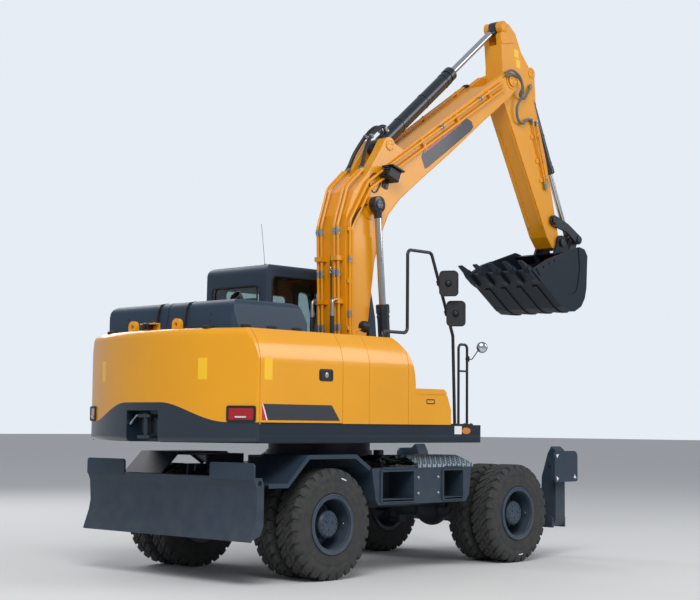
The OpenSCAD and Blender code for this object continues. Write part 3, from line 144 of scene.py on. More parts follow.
def two_tone_enamel():
    """The counterweight's enamel: yellow above a masked wave, dark slate below it."""
    made, tree, shader = material(
        "counterweight_paint", Roughness=0.28, Coat_Weight=0.35, Coat_Roughness=0.08, IOR=1.5
    )
    parts = add(tree, "ShaderNodeSeparateXYZ", {"Vector": place_on(tree)}).outputs
    # The wave stands high round the recess and falls to the skirt's top at both sides
    away = add(tree, "ShaderNodeMath", {0: parts["Y"]}, operation="ABSOLUTE").outputs[0]
    fall = add(
        tree,
        "ShaderNodeMapRange",
        {"Value": away, "From Min": 0.26, "From Max": 0.98, "To Min": 1.672, "To Max": 1.492},
        interpolation_type="SMOOTHSTEP",
    ).outputs["Result"]
    above = add(tree, "ShaderNodeMath", {0: parts["Z"], 1: fall}, operation="SUBTRACT").outputs[0]
    side = share_of(tree, above, -0.001, 0.001)
    yellow = mixed(tree, patches(tree, 900), "#eba102", "#e49a00")
    tree.links.new(mixed(tree, side, "#1e2a36", yellow), shader.inputs["Base Color"])
    ripple(tree, shader, 14, 0.12)
    return made


PAINTS = {
    "yellow_paint": ("#eba102", "#e49a00", 0.28, 0.35),
    "boom_paint": ("#e69a03", "#dd9200", 0.32, 0.25),
    "hood_paint": ("#2c3d4f", "#283848", 0.42, 0.0, 0.0, 0.25),
    "cab_paint": ("#2e3d4e", "#2a3848", 0.4, 0.0, 0.0, 0.25),
    "skirt_paint": ("#182532", "#15212d", 0.4, 0.0, 0.0, 0.3),
    "chassis_paint": ("#2a3a4a", "#263544", 0.45, 0.0, 0.25, 0.3),
    "bucket_paint": ("#1a2530", "#17212b", 0.45, 0.0, 0.0, 0.25),
    "rim_paint": ("#304153", "#2b3b4c", 0.42, 0.0, 0.3, 0.3),
    "link_paint": ("#1b232b", "#181f26", 0.42, 0.15),
    "cylinder_paint": ("#18202a", "#151c25", 0.3, 0.3),
    "rail_paint": ("#101216", "#0e1013", 0.38, 0.2),
    "engine_paint": ("#34383c", "#2c3034", 0.5, 0.0),
    "red_band": ("#c4232b", "#bc1f27", 0.3, 0.4),
    "white_band": ("#e9eaea", "#e2e3e3", 0.35, 0.3),
    "decal_yellow": ("#f7c41a", "#f3be14", 0.35, 0.3),
    "banner_dark": ("#2a2f36", "#262b31", 0.35, 0.3),
}
MATERIALS = {name: sprayed_enamel(name, *words) for name, words in PAINTS.items()}


def hard_chrome():
    """Ground and hard-chromed rod: a bright, nearly mirror grey."""
    return material("chrome", Base_Color=colour("#c9ccd0"), Metallic=1.0, Roughness=0.12)[0]


def ring_steel():
    """Bare bearing steel with a film of grease: dark and dull."""
    return material("ring_steel", Base_Color=colour("#3a3b3d"), Metallic=0.8, Roughness=0.5)[0]


def plated_steel():
    """Zinc-plated fittings: a soft silver shine with cloudy patches."""
    made, tree, shader = material("plated_steel", Metallic=1.0, Roughness=0.32)
    tree.links.new(mixed(tree, patches(tree, 20), "#b9bcbd", "#9fa2a3"), shader.inputs["Base Color"])
    return made


def exhaust_steel():
    """Steel tube in heatproof black: soot-dark with a weak shine."""
    return material("exhaust_steel", Base_Color=colour("#2b2d30"), Metallic=0.6, Roughness=0.45)[0]


def moulded_rubber():
    """Carbon-black rubber from a mould: deep grey, dull, dusty where it runs on the road."""
    made, tree, shader = material("tyre", Roughness=0.78, IOR=1.5)
    shade = mixed(tree, patches(tree, 160, 0.7), "#232426", "#2f3031")
    shade = mixed(tree, patches(tree, 45, 0.5), shade, "#3b3a38")
    tree.links.new(shade, shader.inputs["Base Color"])
    ripple(tree, shader, 6, 0.25, 3.0)
    return made


def hose_rubber():
    """Braided hydraulic hose under a smooth rubber cover: black with a soft shine."""
    made, tree, shader = material("hose_rubber", Base_Color=colour("#191a1c"), Roughness=0.5, IOR=1.5)
    ripple(tree, shader, 8, 0.2)
    return made


def sleeved_hose():
    """Hose in a woven nylon sleeve: mid grey, with the weave's fine crossing."""
    made, tree, shader = material("sleeved_hose", Roughness=0.8, IOR=1.5)
    tree.links.new(mixed(tree, patches(tree, 5, 0.4), "#4d5459", "#767d80"), shader.inputs["Base Color"])
    ripple(tree, shader, 4, 0.4, 2.0)
    return made


def clear_glass():
    """Tinted safety glass: clear, faintly blue-green, mirror-smooth."""
    return material(
        "glass", Base_Color=colour("#b4c5c6"), Transmission_Weight=1.0, Roughness=0.02, IOR=1.45
    )[0]


def mirror_glass():
    """Silvered glass: a bright mirror."""
    return material("mirror_glass", Base_Color=colour("#cfd6da"), Metallic=1.0, Roughness=0.03)[0]


def moulded_lens(name, code):
    """Moulded acrylic lens: a deep glossy colour that lets a little light in."""
    return material(
        name, Base_Color=colour(code), Roughness=0.12, Coat_Weight=0.6, Transmission_Weight=0.25, IOR=1.49
    )[0]


def moulded_plastic(name, code, rough=0.55):
    """Grained black polypropylene: matt and dark."""
    made, tree, shader = material(name, Base_Color=colour(code), Roughness=rough, IOR=1.49)
    ripple(tree, shader, 3, 0.08, 2.0)
    return made


def chequer_plate():
    """Painted steel plate rolled with raised bars that alternate in direction, their tops painted brighter:
    partly wear, partly a painted highlight.
    """
    made, tree, shader = material("tread_plate", Roughness=0.4, Metallic=0.35, IOR=1.5)
    where = place_on(tree)
    heights = []
    for angle, shift in ((45, 0.0), (-45, 0.5)):
        # Waves across and along give rows of short bars, twice the real pitch so that they show
        turned_to = add(
            tree, "ShaderNodeMapping", {"Vector": where, "Rotation": (0, 0, math.radians(angle))}
        ).outputs["Vector"]
        axes = add(tree, "ShaderNodeSeparateXYZ", {"Vector": turned_to}).outputs
        waves = []
        for axis, pitch in (("X", 0.028), ("Y", 0.056)):
            phase = add(
                tree,
                "ShaderNodeMath",
                {0: axes[axis], 1: math.tau / pitch, 2: math.tau * shift},
                operation="MULTIPLY_ADD",
            ).outputs[0]
            waves.append(add(tree, "ShaderNodeMath", {0: phase}, operation="COSINE").outputs[0])
        both = add(tree, "ShaderNodeMath", {0: waves[0], 1: waves[1]}, operation="ADD").outputs[0]
        heights.append(share_of(tree, both, 0.6, 1.3))
    top = add(tree, "ShaderNodeMath", {0: heights[0], 1: heights[1]}, operation="MAXIMUM").outputs[0]
    # The bars' tops get a lighter colour than the plate: worn paint, and a painted highlight where light catches
    # them
    tree.links.new(mixed(tree, top, "#55636f", "#b4bec8"), shader.inputs["Base Color"])
    bump = add(tree, "ShaderNodeBump", {"Height": top, "Distance": 0.003, "Strength": 1.0})
    tree.links.new(bump.outputs["Normal"], shader.inputs["Normal"])
    return made


MATERIALS.update(
    {
        "counterweight_paint": two_tone_enamel(),
        "chrome": hard_chrome(),
        "ring_steel": ring_steel(),
        "plated_steel": plated_steel(),
        "exhaust_steel": exhaust_steel(),
        "tyre": moulded_rubber(),
        "hose_rubber": hose_rubber(),
        "sleeved_hose": sleeved_hose(),
        "glass": clear_glass(),
        "mirror_glass": mirror_glass(),
        "red_lens": moulded_lens("red_lens", "#b80d17"),
        "amber_lens": moulded_lens("amber_lens", "#f08a12"),
        "clear_lens": moulded_lens("clear_lens", "#dfe6ea"),
        "mirror_plastic": moulded_plastic("mirror_plastic", "#1d2024"),
        "black_plastic": moulded_plastic("black_plastic", "#15171a", 0.45),
        "seal_rubber": moulded_plastic("seal_rubber", "#101113", 0.7),
        "interior_plastic": moulded_plastic("interior_plastic", "#222528", 0.7),
        "tread_plate": chequer_plate(),
    }
)

slot_of = {part["node"]: part["material_slot"] for part in frame["record"]["subparts"]}
slot_of["counterweight"] = "counterweight_paint"
for name, obj in frame["nodes"].items():
    for part in obj.material_slots:
        part.material = MATERIALS[slot_of[name]]


def turn(origin, out, up=(0, 0, 1)):
    """Matrix that sets a part at origin, its Z along out and its Y as near to up as it goes."""
    ahead = Vector(out).normalized()
    up = Vector(up)
    if abs(ahead.dot(up.normalized())) > 0.99:
        up = Vector((1, 0, 0))
    across = up.cross(ahead).normalized()
    axes = Matrix((across, ahead.cross(across), ahead)).transposed()
    return Matrix.Translation(origin) @ axes.to_4x4()


def placed(part, matrix):
    """The part, moved by a matrix."""
    return [matrix @ v for v in part[0]], part[1]


def mirrored(part, side=-1):
    """The part for the left side, or turned into the right side's."""
    if side > 0:
        return part
    return [Vector((v.x, -v.y, v.z)) for v in part[0]], [tuple(reversed(f)) for f in part[1]]


def turned(profile, sides=24):
    """Solid of revolution about Z through [radius, height] pairs, from bottom to top."""
    verts, faces, rings = [], [], []
    for radius, height in profile:
        count = 1 if radius == 0 else sides
        rings.append([len(verts) + i for i in range(count)])
        angles = [math.tau * i / count for i in range(count)]
        verts += [Vector((radius * math.cos(a), radius * math.sin(a), height)) for a in angles]
    for low, high in zip(rings, rings[1:]):
        for i in range(sides):
            corners = (
                low[i % len(low)],
                low[(i + 1) % len(low)],
                high[(i + 1) % len(high)],
                high[i % len(high)],
            )
            faces.append(tuple(dict.fromkeys(corners)))
    return verts, faces


def slab(outline, depth, edge=0.0):
    """Flat plate of a counterclockwise outline, from z 0 to depth, its upper edge cut back by edge."""
    count = len(outline)
    middle = sum((Vector(p) for p in outline), Vector((0, 0))) / count
    levels = [(0.0, 0.0), (depth - edge, 0.0), (depth, edge)] if edge else [(0.0, 0.0), (depth, 0.0)]
    verts = []
    for height, back in levels:
        for p in outline:
            away = Vector(p) - middle
            spot = Vector(p) - away.normalized() * back
            verts.append(Vector((spot.x, spot.y, height)))
    faces = [tuple(range(count - 1, -1, -1)), tuple(range(len(verts) - count, len(verts)))]
    for level in range(len(levels) - 1):
        for i in range(count):
            a, b = level * count + i, level * count + (i + 1) % count
            faces.append((a, b, b + count, a + count))
    return verts, faces


def rounded(width, height, radius, steps=5):
    """Outline of a rounded rectangle about the origin."""
    points = []
    for quarter, (sx, sy) in enumerate(((1, 1), (-1, 1), (-1, -1), (1, -1))):
        for k in range(steps + 1):
            a = math.pi / 2 * (quarter + k / steps)
            points.append(
                (
                    sx * (width / 2 - radius) + radius * math.cos(a),
                    sy * (height / 2 - radius) + radius * math.sin(a),
                )
            )
    return points


def frame_of(width, height, radius, rim, depth):
    """Rounded frame, rim wide, from z 0 to depth."""
    outer = rounded(width, height, radius)
    inner = rounded(width - 2 * rim, height - 2 * rim, max(radius - rim, 0.002))
    count = len(outer)
    rings = [(outer, 0.0), (outer, depth * 0.7), (None, depth), (inner, depth * 0.7), (inner, 0.0)]
    verts = []
    for points, height_at in rings:
        if points is None:
            points = [((a[0] * 0.7 + b[0] * 0.3), (a[1] * 0.7 + b[1] * 0.3)) for a, b in zip(outer, inner)]
        verts += [Vector((x, y, height_at)) for x, y in points]
    faces = []
    for ring in range(len(rings)):
        for i in range(count):
            a, b = ring * count + i, ring * count + (i + 1) % count
            above = (ring + 1) % len(rings) * count - ring * count
            faces.append((a, b, b + above, a + above))
    return verts, faces


def corners_turned(points, bend, steps=6):
    """The path through points, its corners turned on arcs of radius bend."""
    points = [Vector(p) for p in points]
    path = [points[0]]
    for before, here, after in zip(points, points[1:], points[2:]):
        come, go = (here - before).normalized(), (after - here).normalized()
        angle = come.angle(go)
        if angle < 0.02:
            path.append(here)
            continue
        reach = min(
            bend * math.tan(angle / 2), 0.48 * (here - before).length, 0.48 * (after - here).length
        )
        radius = reach / math.tan(angle / 2)
        axis = come.cross(go).normalized()
        start = here - come * reach
        centre = start + axis.cross(come) * radius
        for k in range(steps + 1):
            path.append(centre + Matrix.Rotation(angle * k / steps, 3, axis) @ (start - centre))
    return path + [points[-1]]


def slack(points, steps=8):
    """Smooth path of a hose that passes through points."""
    points = [Vector(p) for p in points]
    ends = [2 * points[0] - points[1]] + points + [2 * points[-1] - points[-2]]
    path = []
    for a, b, c, d in zip(ends, ends[1:], ends[2:], ends[3:]):
        for k in range(steps):
            t = k / steps
            path.append(
                0.5 * (2 * b + (c - a) * t + (2 * a - 5 * b + 4 * c - d) * t**2 + (3 * b - a - 3 * c + d) * t**3)
            )
    return path + [points[-1]]


def tube(path, radius, sides=10):
    """Round bar or hose along a path, closed at both ends."""
    verts, faces = [], []
    side = None
    last = len(path) - 1
    for i, spot in enumerate(path):
        ahead = (path[min(i + 1, last)] - path[max(i - 1, 0)]).normalized()
        side = ahead.orthogonal() if side is None else side - ahead * side.dot(ahead)
        side = side.normalized()
        other = ahead.cross(side)
        for k in range(sides):
            a = math.tau * k / sides
            verts.append(spot + radius * (math.cos(a) * side + math.sin(a) * other))
    for i in range(last):
        for k in range(sides):
            a, b = i * sides + k, i * sides + (k + 1) % sides
            faces.append((a, b, b + sides, a + sides))
    faces += [tuple(range(sides - 1, -1, -1)), tuple(range(last * sides, last * sides + sides))]
    return verts, faces


def bolt(origin, out, across, height=None):
    """Hexagon head with a chamfer, on its washer."""
    height = height or across * 0.45
    head = turned(
        [(0, 0), (across * 0.577, 0), (across * 0.577, height * 0.85), (across * 0.5, height), (0, height)], 6
    )
    washer = turned([(0, 0), (across * 0.8, 0), (across * 0.8, height * 0.2), (0, height * 0.2)], 14)
    where = turn(origin, out)
    return [placed(washer, where), placed(head, where @ Matrix.Translation((0, 0, height * 0.2)))]


def fitting(origin, out, radius, length):
    """Hose end: a hexagon nut between two collars."""
    where = turn(origin, out)
    collar = turned(
        [(0, 0), (radius, 0), (radius, length * 0.4), (radius * 0.85, length * 0.45), (0, length * 0.45)], 14
    )
    nut = turned([(0, 0), (radius * 1.25, 0), (radius * 1.25, length * 0.4), (0, length * 0.4)], 6)
    return [
        placed(collar, where),
        placed(nut, where @ Matrix.Translation((0, 0, length * 0.4))),
        placed(collar, where @ Matrix.Translation((0, 0, length * 0.75))),
    ]


def pin_cap(origin, out, radius, bolts=3):
    """Cap over a pin's end: a dished disc with a raised rim, and its bolts."""
    t = 0.2 * radius
    disc = turned(
        [(0, 0), (radius, 0), (radius, t * 0.8), (radius * 0.94, t), (radius * 0.82, t), (radius * 0.78, t * 0.7),
         (0, t * 0.7)], 28
    )
    where = turn(origin, out)
    parts = [placed(disc, where)]
    for i in range(bolts):
        a = math.tau * i / bolts + 0.5
        spot = where @ Vector((0.5 * radius * math.cos(a), 0.5 * radius * math.sin(a), t * 0.7))
        parts += bolt(spot, out, radius * 0.22)
    return parts


def spun(profile, sides, origin, out):
    """A turned part set at origin, its axis along out."""
    return placed(turned(profile, sides), turn(origin, out))


def pad(width, height, radius, depth, edge, where):
    """A rounded plate set at a matrix."""
    return placed(slab(rounded(width, height, radius), depth, edge), where)


def pipe(path, bend, radius, sides):
    """A stiff tube, its corners turned to a bend radius."""
    return tube(corners_turned(path, bend), radius, sides)


def hose(path, radius, sides):
    """A tube that runs smoothly through the points."""
    return tube(slack(path), radius, sides)


def plate(width, height, radius, depth, edge, origin, out, up=(0, 0, 1)):
    """A rounded plate that stands depth proud of origin, towards out."""
    return pad(width, height, radius, depth, edge, turn(origin, out, up))


def mesh_of(name, parts, finish, crease=40):
    """One mesh joined from parts, smooth but for edges sharper than crease degrees."""
    mesh = bpy.data.meshes.new(name)
    verts, faces = [], []
    for points, polygons in parts:
        faces += [[i + len(verts) for i in face] for face in polygons]
        verts += points
    mesh.from_pydata(verts, [], faces)
    mesh.materials.append(MATERIALS[finish])
    for face in mesh.polygons:
        face.use_smooth = True
    mesh.set_sharp_from_angle(angle=math.radians(crease))
    return mesh


def show(name, mesh, body, origin=(0, 0, 0)):
    """Shows a mesh at origin as a piece that rides a body."""
    obj = bpy.data.objects.new(name, mesh)
    obj.location = origin
    bpy.context.scene.collection.objects.link(obj)
    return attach(obj, body)


def make(name, parts, finish, body, crease=40):
    """One piece of the given finish, joined from parts, that rides a body."""
    return show(name, mesh_of(name, parts, finish, crease), body)


# Wheels

TYRE_R, TYRE_W, TWIN_GAP = 0.53, 0.27, 0.055
TWIN_Y = 1.245 - TYRE_W - TWIN_GAP / 2
AXLES = {"front": 1.85, "rear": -1.05}
PITCHES = 28
# Half section of a tyre from the bead outwards: radius, distance from the middle, groove depth
SECTION = [
    (0.2630, 0.0970, 0), (0.2760, 0.1120, 0), (0.2900, 0.1200, 0), (0.3000, 0.1235, 0), (0.3030, 0.1262, 0),
    (0.3090, 0.1262, 0), (0.3120, 0.1252, 0), (0.3520, 0.1340, 0), (0.3950, 0.1345, 0), (0.3985, 0.1330, 0),
    (0.4045, 0.1330, 0), (0.4080, 0.1345, 0), (0.4400, 0.1340, 0), (0.4560, 0.1325, 0), (0.4640, 0.1315, 3),
    (0.4760, 0.1300, 10), (0.4920, 0.1272, 17), (0.5080, 0.1200, 21), (0.5200, 0.1130, 23),
    (0.5290, 0.1035, 24), (0.5300, 0.0950, 24), (0.5300, 0.0760, 23), (0.5300, 0.0720, 17),
    (0.5300, 0.0300, 15), (0.5300, 0.0260, 9), (0.5300, 0.0120, 6), (0.5300, 0.0065, 0),
    (0.5300, 0.0045, 0),
]


def tyre():
    """Tyre about Z with diagonal grooves between 28 blocks, and a zigzag groove round its middle."""
    stations = [(r, w, d / 1000, 1) for r, w, d in SECTION]
    stations += [(r, -w, d / 1000, -1) for r, w, d in SECTION[::-1]]
    verts, faces = [], []
    for i in range(PITCHES):
        for step in range(10):
            for radius, across, depth, side in stations:
                lean_at = max(-0.096, min(0.096, across)) / 0.096
                reach = min(1.0, max(0.0, (abs(across) - 0.02) / 0.06))
                half = 0.10 + 0.085 * reach
                spots = (-half, -0.68 * half, 0.68 * half, half, 0.34, 0.455, 0.475, 0.525, 0.545, 0.66)
                low = (0, 1, 1, 0, 0, 0, 0.3, 0.3, 0, 0)[step]
                if step in (6, 7) and not 0.02 < abs(across) < 0.09:
                    low = 0
                cut = depth * low
                share = spots[step] + 0.75 - 0.75 * lean_at
                angle = math.tau * (i + share) / PITCHES
                zigzag = 0.011 * (4 * abs((share % 1) - 0.5) - 1) if abs(across) < 0.02 else 0.0
                if abs(across) < 0.005:
                    cut = 0.012
                slope = min(1.0, max(0.0, (abs(across) - 0.1) / 0.03))
                radius_at = radius - cut * (1 - 0.45 * slope)
                across_at = across + zigzag - side * cut * 0.7 * slope
                verts.append(Vector((radius_at * math.cos(angle), radius_at * math.sin(angle), across_at)))
    count, rings = len(stations), PITCHES * 10
    for i in range(rings):
        for k in range(count):
            a, b = i * count + k, i * count + (k + 1) % count
            c, d = (i + 1) % rings * count + (k + 1) % count, (i + 1) % rings * count + k
            faces.append((a, d, c, b))
    return verts, faces


def twin(part):
    """The two tyres of a twin, on an axle along Y."""
    step = (TYRE_W + TWIN_GAP) / 2
    return [placed(part, turn((0, s * step, 0), (0, 1, 0), (0, 0, 1))) for s in (-1, 1)]


def fit_wheels():
    """Treaded tyres in place of the plain ones, with nuts, hub plugs, lock rings and valves."""
    rubber = mesh_of("twin_tyres", twin(tyre()), "tyre", 32)
    nuts, plugs, valves = [], [], []
    for i in range(10):
        a = math.tau * (i + 0.5) / 10
        nuts += bolt((0.172 * math.cos(a), 0.172 * math.sin(a), 0.064), (0, 0, 1), 0.027, 0.02)
    for i in range(12):
        a = math.tau * i / 12
        nuts += bolt((0.096 * math.cos(a), 0.096 * math.sin(a), 0.2425), (0, 0, 1), 0.014)
    for i in range(3):
        a = math.tau * i / 3 + 0.4
        plugs += bolt((0.05 * math.cos(a), 0.05 * math.sin(a), 0.2425), (0, 0, 1), 0.024)
    plugs.append(turned([(0, 0.2425), (0.082, 0.2425), (0.080, 0.246), (0, 0.246)], 28))
    # Valve of the outer tyre, bent out of the dish
    valves.append(pipe([(0.235, 0, 0.10), (0.215, 0, 0.13), (0.20, 0, 0.22)], 0.03, 0.006, 8))
    valves += fitting((0.20, 0, 0.215), (-0.1, 0, 1), 0.007, 0.02)
    # A lock ring inside the outer rim's lip
    ring = turned(
        [(0.246, 0.262), (0.2465, 0.281), (0.240, 0.281), (0.236, 0.272), (0.240, 0.262), (0.246, 0.262)], 64
    )
    # Small white mark on each outer sidewall, and how far round it stands
    mark = pad(0.07, 0.02, 0.006, 0.002, 0.0, Matrix.Translation((0, 0.44, 0.2945)))
    mark_at = {"front": -175, "rear": -18}
    for end, x in AXLES.items():
        for side, s in (("left", 1), ("right", -1)):
            body = f"wheels_{end}_{side}"
            centre = (x, s * TWIN_Y, TYRE_R)
            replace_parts(show(f"treaded_tyres_{end}_{side}", rubber, body, centre), f"tyres_{end}_{side}")
            facing = turn(centre, (0, s, 0), (0, 0, 1))
            make(f"wheel_nuts_{end}_{side}", [placed(p, facing) for p in nuts + plugs], "rim_paint", body)
            make(f"lock_ring_{end}_{side}", [placed(ring, facing)], "rim_paint", body)
            make(f"valve_{end}_{side}", [placed(p, facing) for p in valves], "plated_steel", body)
            round_to = facing @ Matrix.Rotation(math.radians(mark_at[end]), 4, "Z")
            make(f"tyre_mark_{end}_{side}", [placed(mark, round_to)], "white_band", body)


fit_wheels()


# Upper body

HALF_W, TAIL_R = 1.245, 2.4
# Middle planes of the boom and the cab, and the outer face of the right skirt
BOOM_Y, CAB_Y, SKIRT_Y = -0.09, 0.7675, -1.233
DOWN, UP, RIGHT = (0, 0, -1), (0, 0, 1), (0, -1, 0)


def on_side(parts, side):
    """Parts made for the left side, or turned into the right side's."""
    return [mirrored(part, side) for part in parts]


def decal(name, outline, y, finish, body, depth=0.0012):
    """Thin plate on the right side, from [x, z] corners given counterclockwise as one sees them."""
    where = Matrix.Translation((0, y, 0)) @ Matrix.Rotation(math.pi / 2, 4, "X")
    return make(name, [placed(slab(outline, depth), where)], finish, body)


def bent(name, parts, finish):
    """A hose between two bodies, fixed where it is drawn and attached to neither."""
    obj = bpy.data.objects.new(name, mesh_of(name, parts, finish))
    bpy.context.scene.collection.objects.link(obj)
    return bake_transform(obj)


def dress_doors():
    """Latches of the side doors, and the blank model plate."""
    for side, s in (("left", 1), ("right", -1)):
        body = f"side_door_{side}"
        # Latch in a black escutcheon; on the left it lies flush
        proud = 0.006 if s < 0 else 0.0008
        where = turn((-1.17, s * HALF_W, 1.945), (0, s, 0))
        latch = [pad(0.19, 0.115, 0.025, proud, proud * 0.6, where)]
        make(f"latch_plate_{side}", latch, "black_plastic", body)
        if s < 0:
            ahead = where @ Matrix.Translation((0, 0, proud))
            lock = turned([(0, 0), (0.026, 0), (0.026, 0.004), (0.022, 0.006), (0.009, 0.006),
                           (0.009, 0.003), (0, 0.003)], 24)
            make("latch_lock", [placed(lock, ahead)], "plated_steel", body)
            grip = [placed(frame_of(0.16, 0.09, 0.02, 0.012, 0.005), ahead)]
            make("latch_rim", grip, "black_plastic", body)
    # Blank model plate with its red and white corner, low on the right door
    low, high = 1.512, 1.66
    decal("model_plate", [(-1.93, low), (-0.975, low), (-1.09, high), (-2.0, high)], -HALF_W, "banner_dark",
          "side_door_right")
    decal("model_plate_corner", [(-2.0, low), (-1.93, low), (-1.965, high - 0.03), (-2.0, high)], -HALF_W,
          "red_band", "side_door_right", 0.0016)
    decal("model_plate_stripe", [(-1.945, low), (-1.928, low), (-1.988, high), (-2.0, high)], -HALF_W,
          "white_band", "side_door_right", 0.002)


def yellow_plate(name, where, body):
    """A thin plain plate in yellow."""
    make(name, [pad(0.1, 0.2, 0.008, 0.0008, 0.0, where)], "decal_yellow", body)


def dress_counterweight():
    """Tail lamps' bezels, coupling, camera, buffers and plain plates."""
    bezels, strips = [], []
    for s in (1, -1):
        angle = math.radians(27.5) * s
        out = Vector((-math.cos(angle), -math.sin(angle), 0))
        where = turn(Vector((0, 0, 1.567)) + out * (TAIL_R - 0.001), out)
        bezels.append(placed(frame_of(0.285, 0.15, 0.02, 0.022, 0.016), where))
        lens = where @ Matrix.Translation((0, -0.028, 0.0202))
        strips.append(pad(0.11, 0.014, 0.004, 0.0008, 0.0, lens))
    make("lamp_bezels", bezels, "seal_rubber", "house")
    make("lamp_windows", strips, "clear_lens", "house")
    for name, angle in (("yellow_plate_rear_right", 18), ("yellow_plate_rear_left", -18)):
        a = math.radians(angle)
        out = Vector((-math.cos(a), -math.sin(a), 0))
        yellow_plate(name, turn(Vector((0, 0, 1.98)) + out * (TAIL_R + 0.0003), out), "house")
    # Coupling jaw and its lever in the recess
    jaw = [plate(0.24, 0.15, 0.03, 0.03, 0.004, (-2.262, 0, 1.45), (-1, 0, 0))]
    jaw += [spun([(0, 0), (0.034, 0), (0.034, 0.03), (0.02, 0.036), (0, 0.036)], 20, (-2.33, 0, 1.545), UP)]
    make("coupling_jaw", jaw, "link_paint", "house")
    end = (-2.35, 0.19, 1.50)
    lever = pipe([(-2.28, 0.06, 1.56), (-2.35, 0.12, 1.555), end], 0.03, 0.008, 8)
    make("coupling_lever", [lever] + fitting(end, (0, 0.1, -0.1), 0.012, 0.04), "plated_steel", "house")
    # Camera under its shelf, with its cable
    case = [plate(0.075, 0.06, 0.012, 0.07, 0.006, (-2.262, 0.06, 2.40), (-1, 0, 0))]
    case += [spun([(0, 0), (0.022, 0), (0.022, 0.012), (0.016, 0.012), (0, 0.006)], 20,
                  (-2.33, 0.06, 2.40), (-1, 0, 0))]
    make("rear_camera", case, "black_plastic", "house")
    wire = hose([(-2.262, 0.06, 2.40), (-2.25, 0.0, 2.41), (-2.24, -0.03, 2.38), (-2.2, -0.04, 2.362),
                 (-2.12, -0.03, 2.365)], 0.005, 8)
    make("rear_camera_wire", [wire], "hose_rubber", "house")
    shelf = bolt((-2.28, 0.12, 2.43), UP, 0.016) + bolt((-2.28, -0.02, 2.43), UP, 0.016)
    make("rear_camera_bolts", shelf, "plated_steel", "house")
    # Rubber buffer that the hood rests on, and plugs over the weight's bolts
    buffers = [spun([(0, 0), (0.06, 0), (0.055, 0.018), (0.03, 0.03), (0, 0.032)], 24, (-2.2, y, 2.357), UP)
               for y in (0.72, -0.72)]
    make("weight_plugs", buffers, "seal_rubber", "house")


def dress_hood():
    """Seals, feet, bolts and the exhaust's clamp."""
    straps, dots = [], []
    over = [(-2.112, 2.40), (-2.095, 2.56), (-2.05, 2.622), (-1.99, 2.633), (-1.30, 2.633), (-1.225, 2.60)]
    for y in (-0.27, 0.149):
        straps.append(tube([Vector((x, y, z)) for x, z in over], 0.012, 8))
    make("hood_seals", straps, "seal_rubber", "hood")
    feet = []
    for s in (1, -1):
        for x in (-1.95, -1.62, -1.29):
            feet += on_side([plate(0.12, 0.028, 0.012, 0.012, 0.004, (x, 0.958, 2.384), (0, 1, 0.1))], s)
    make("hood_feet", feet, "seal_rubber", "hood")
    for y, z in ((-0.62, 2.50), (0.62, 2.50), (-0.62, 2.44), (0.62, 2.44)):
        dots += bolt((-2.103 + (z - 2.366) * 0.16, y, z), (-1, 0, 0.16), 0.018)
    make("hood_bolts", dots, "black_plastic", "hood")
    ring = [spun([(0.064, 0.0), (0.068, 0.0), (0.068, 0.02), (0.064, 0.02)], 28, (-1.46, -0.3, 2.652), UP)]
    make("exhaust_clamp", ring + bolt((-1.46, -0.37, 2.66), RIGHT, 0.014), "plated_steel", "hood")


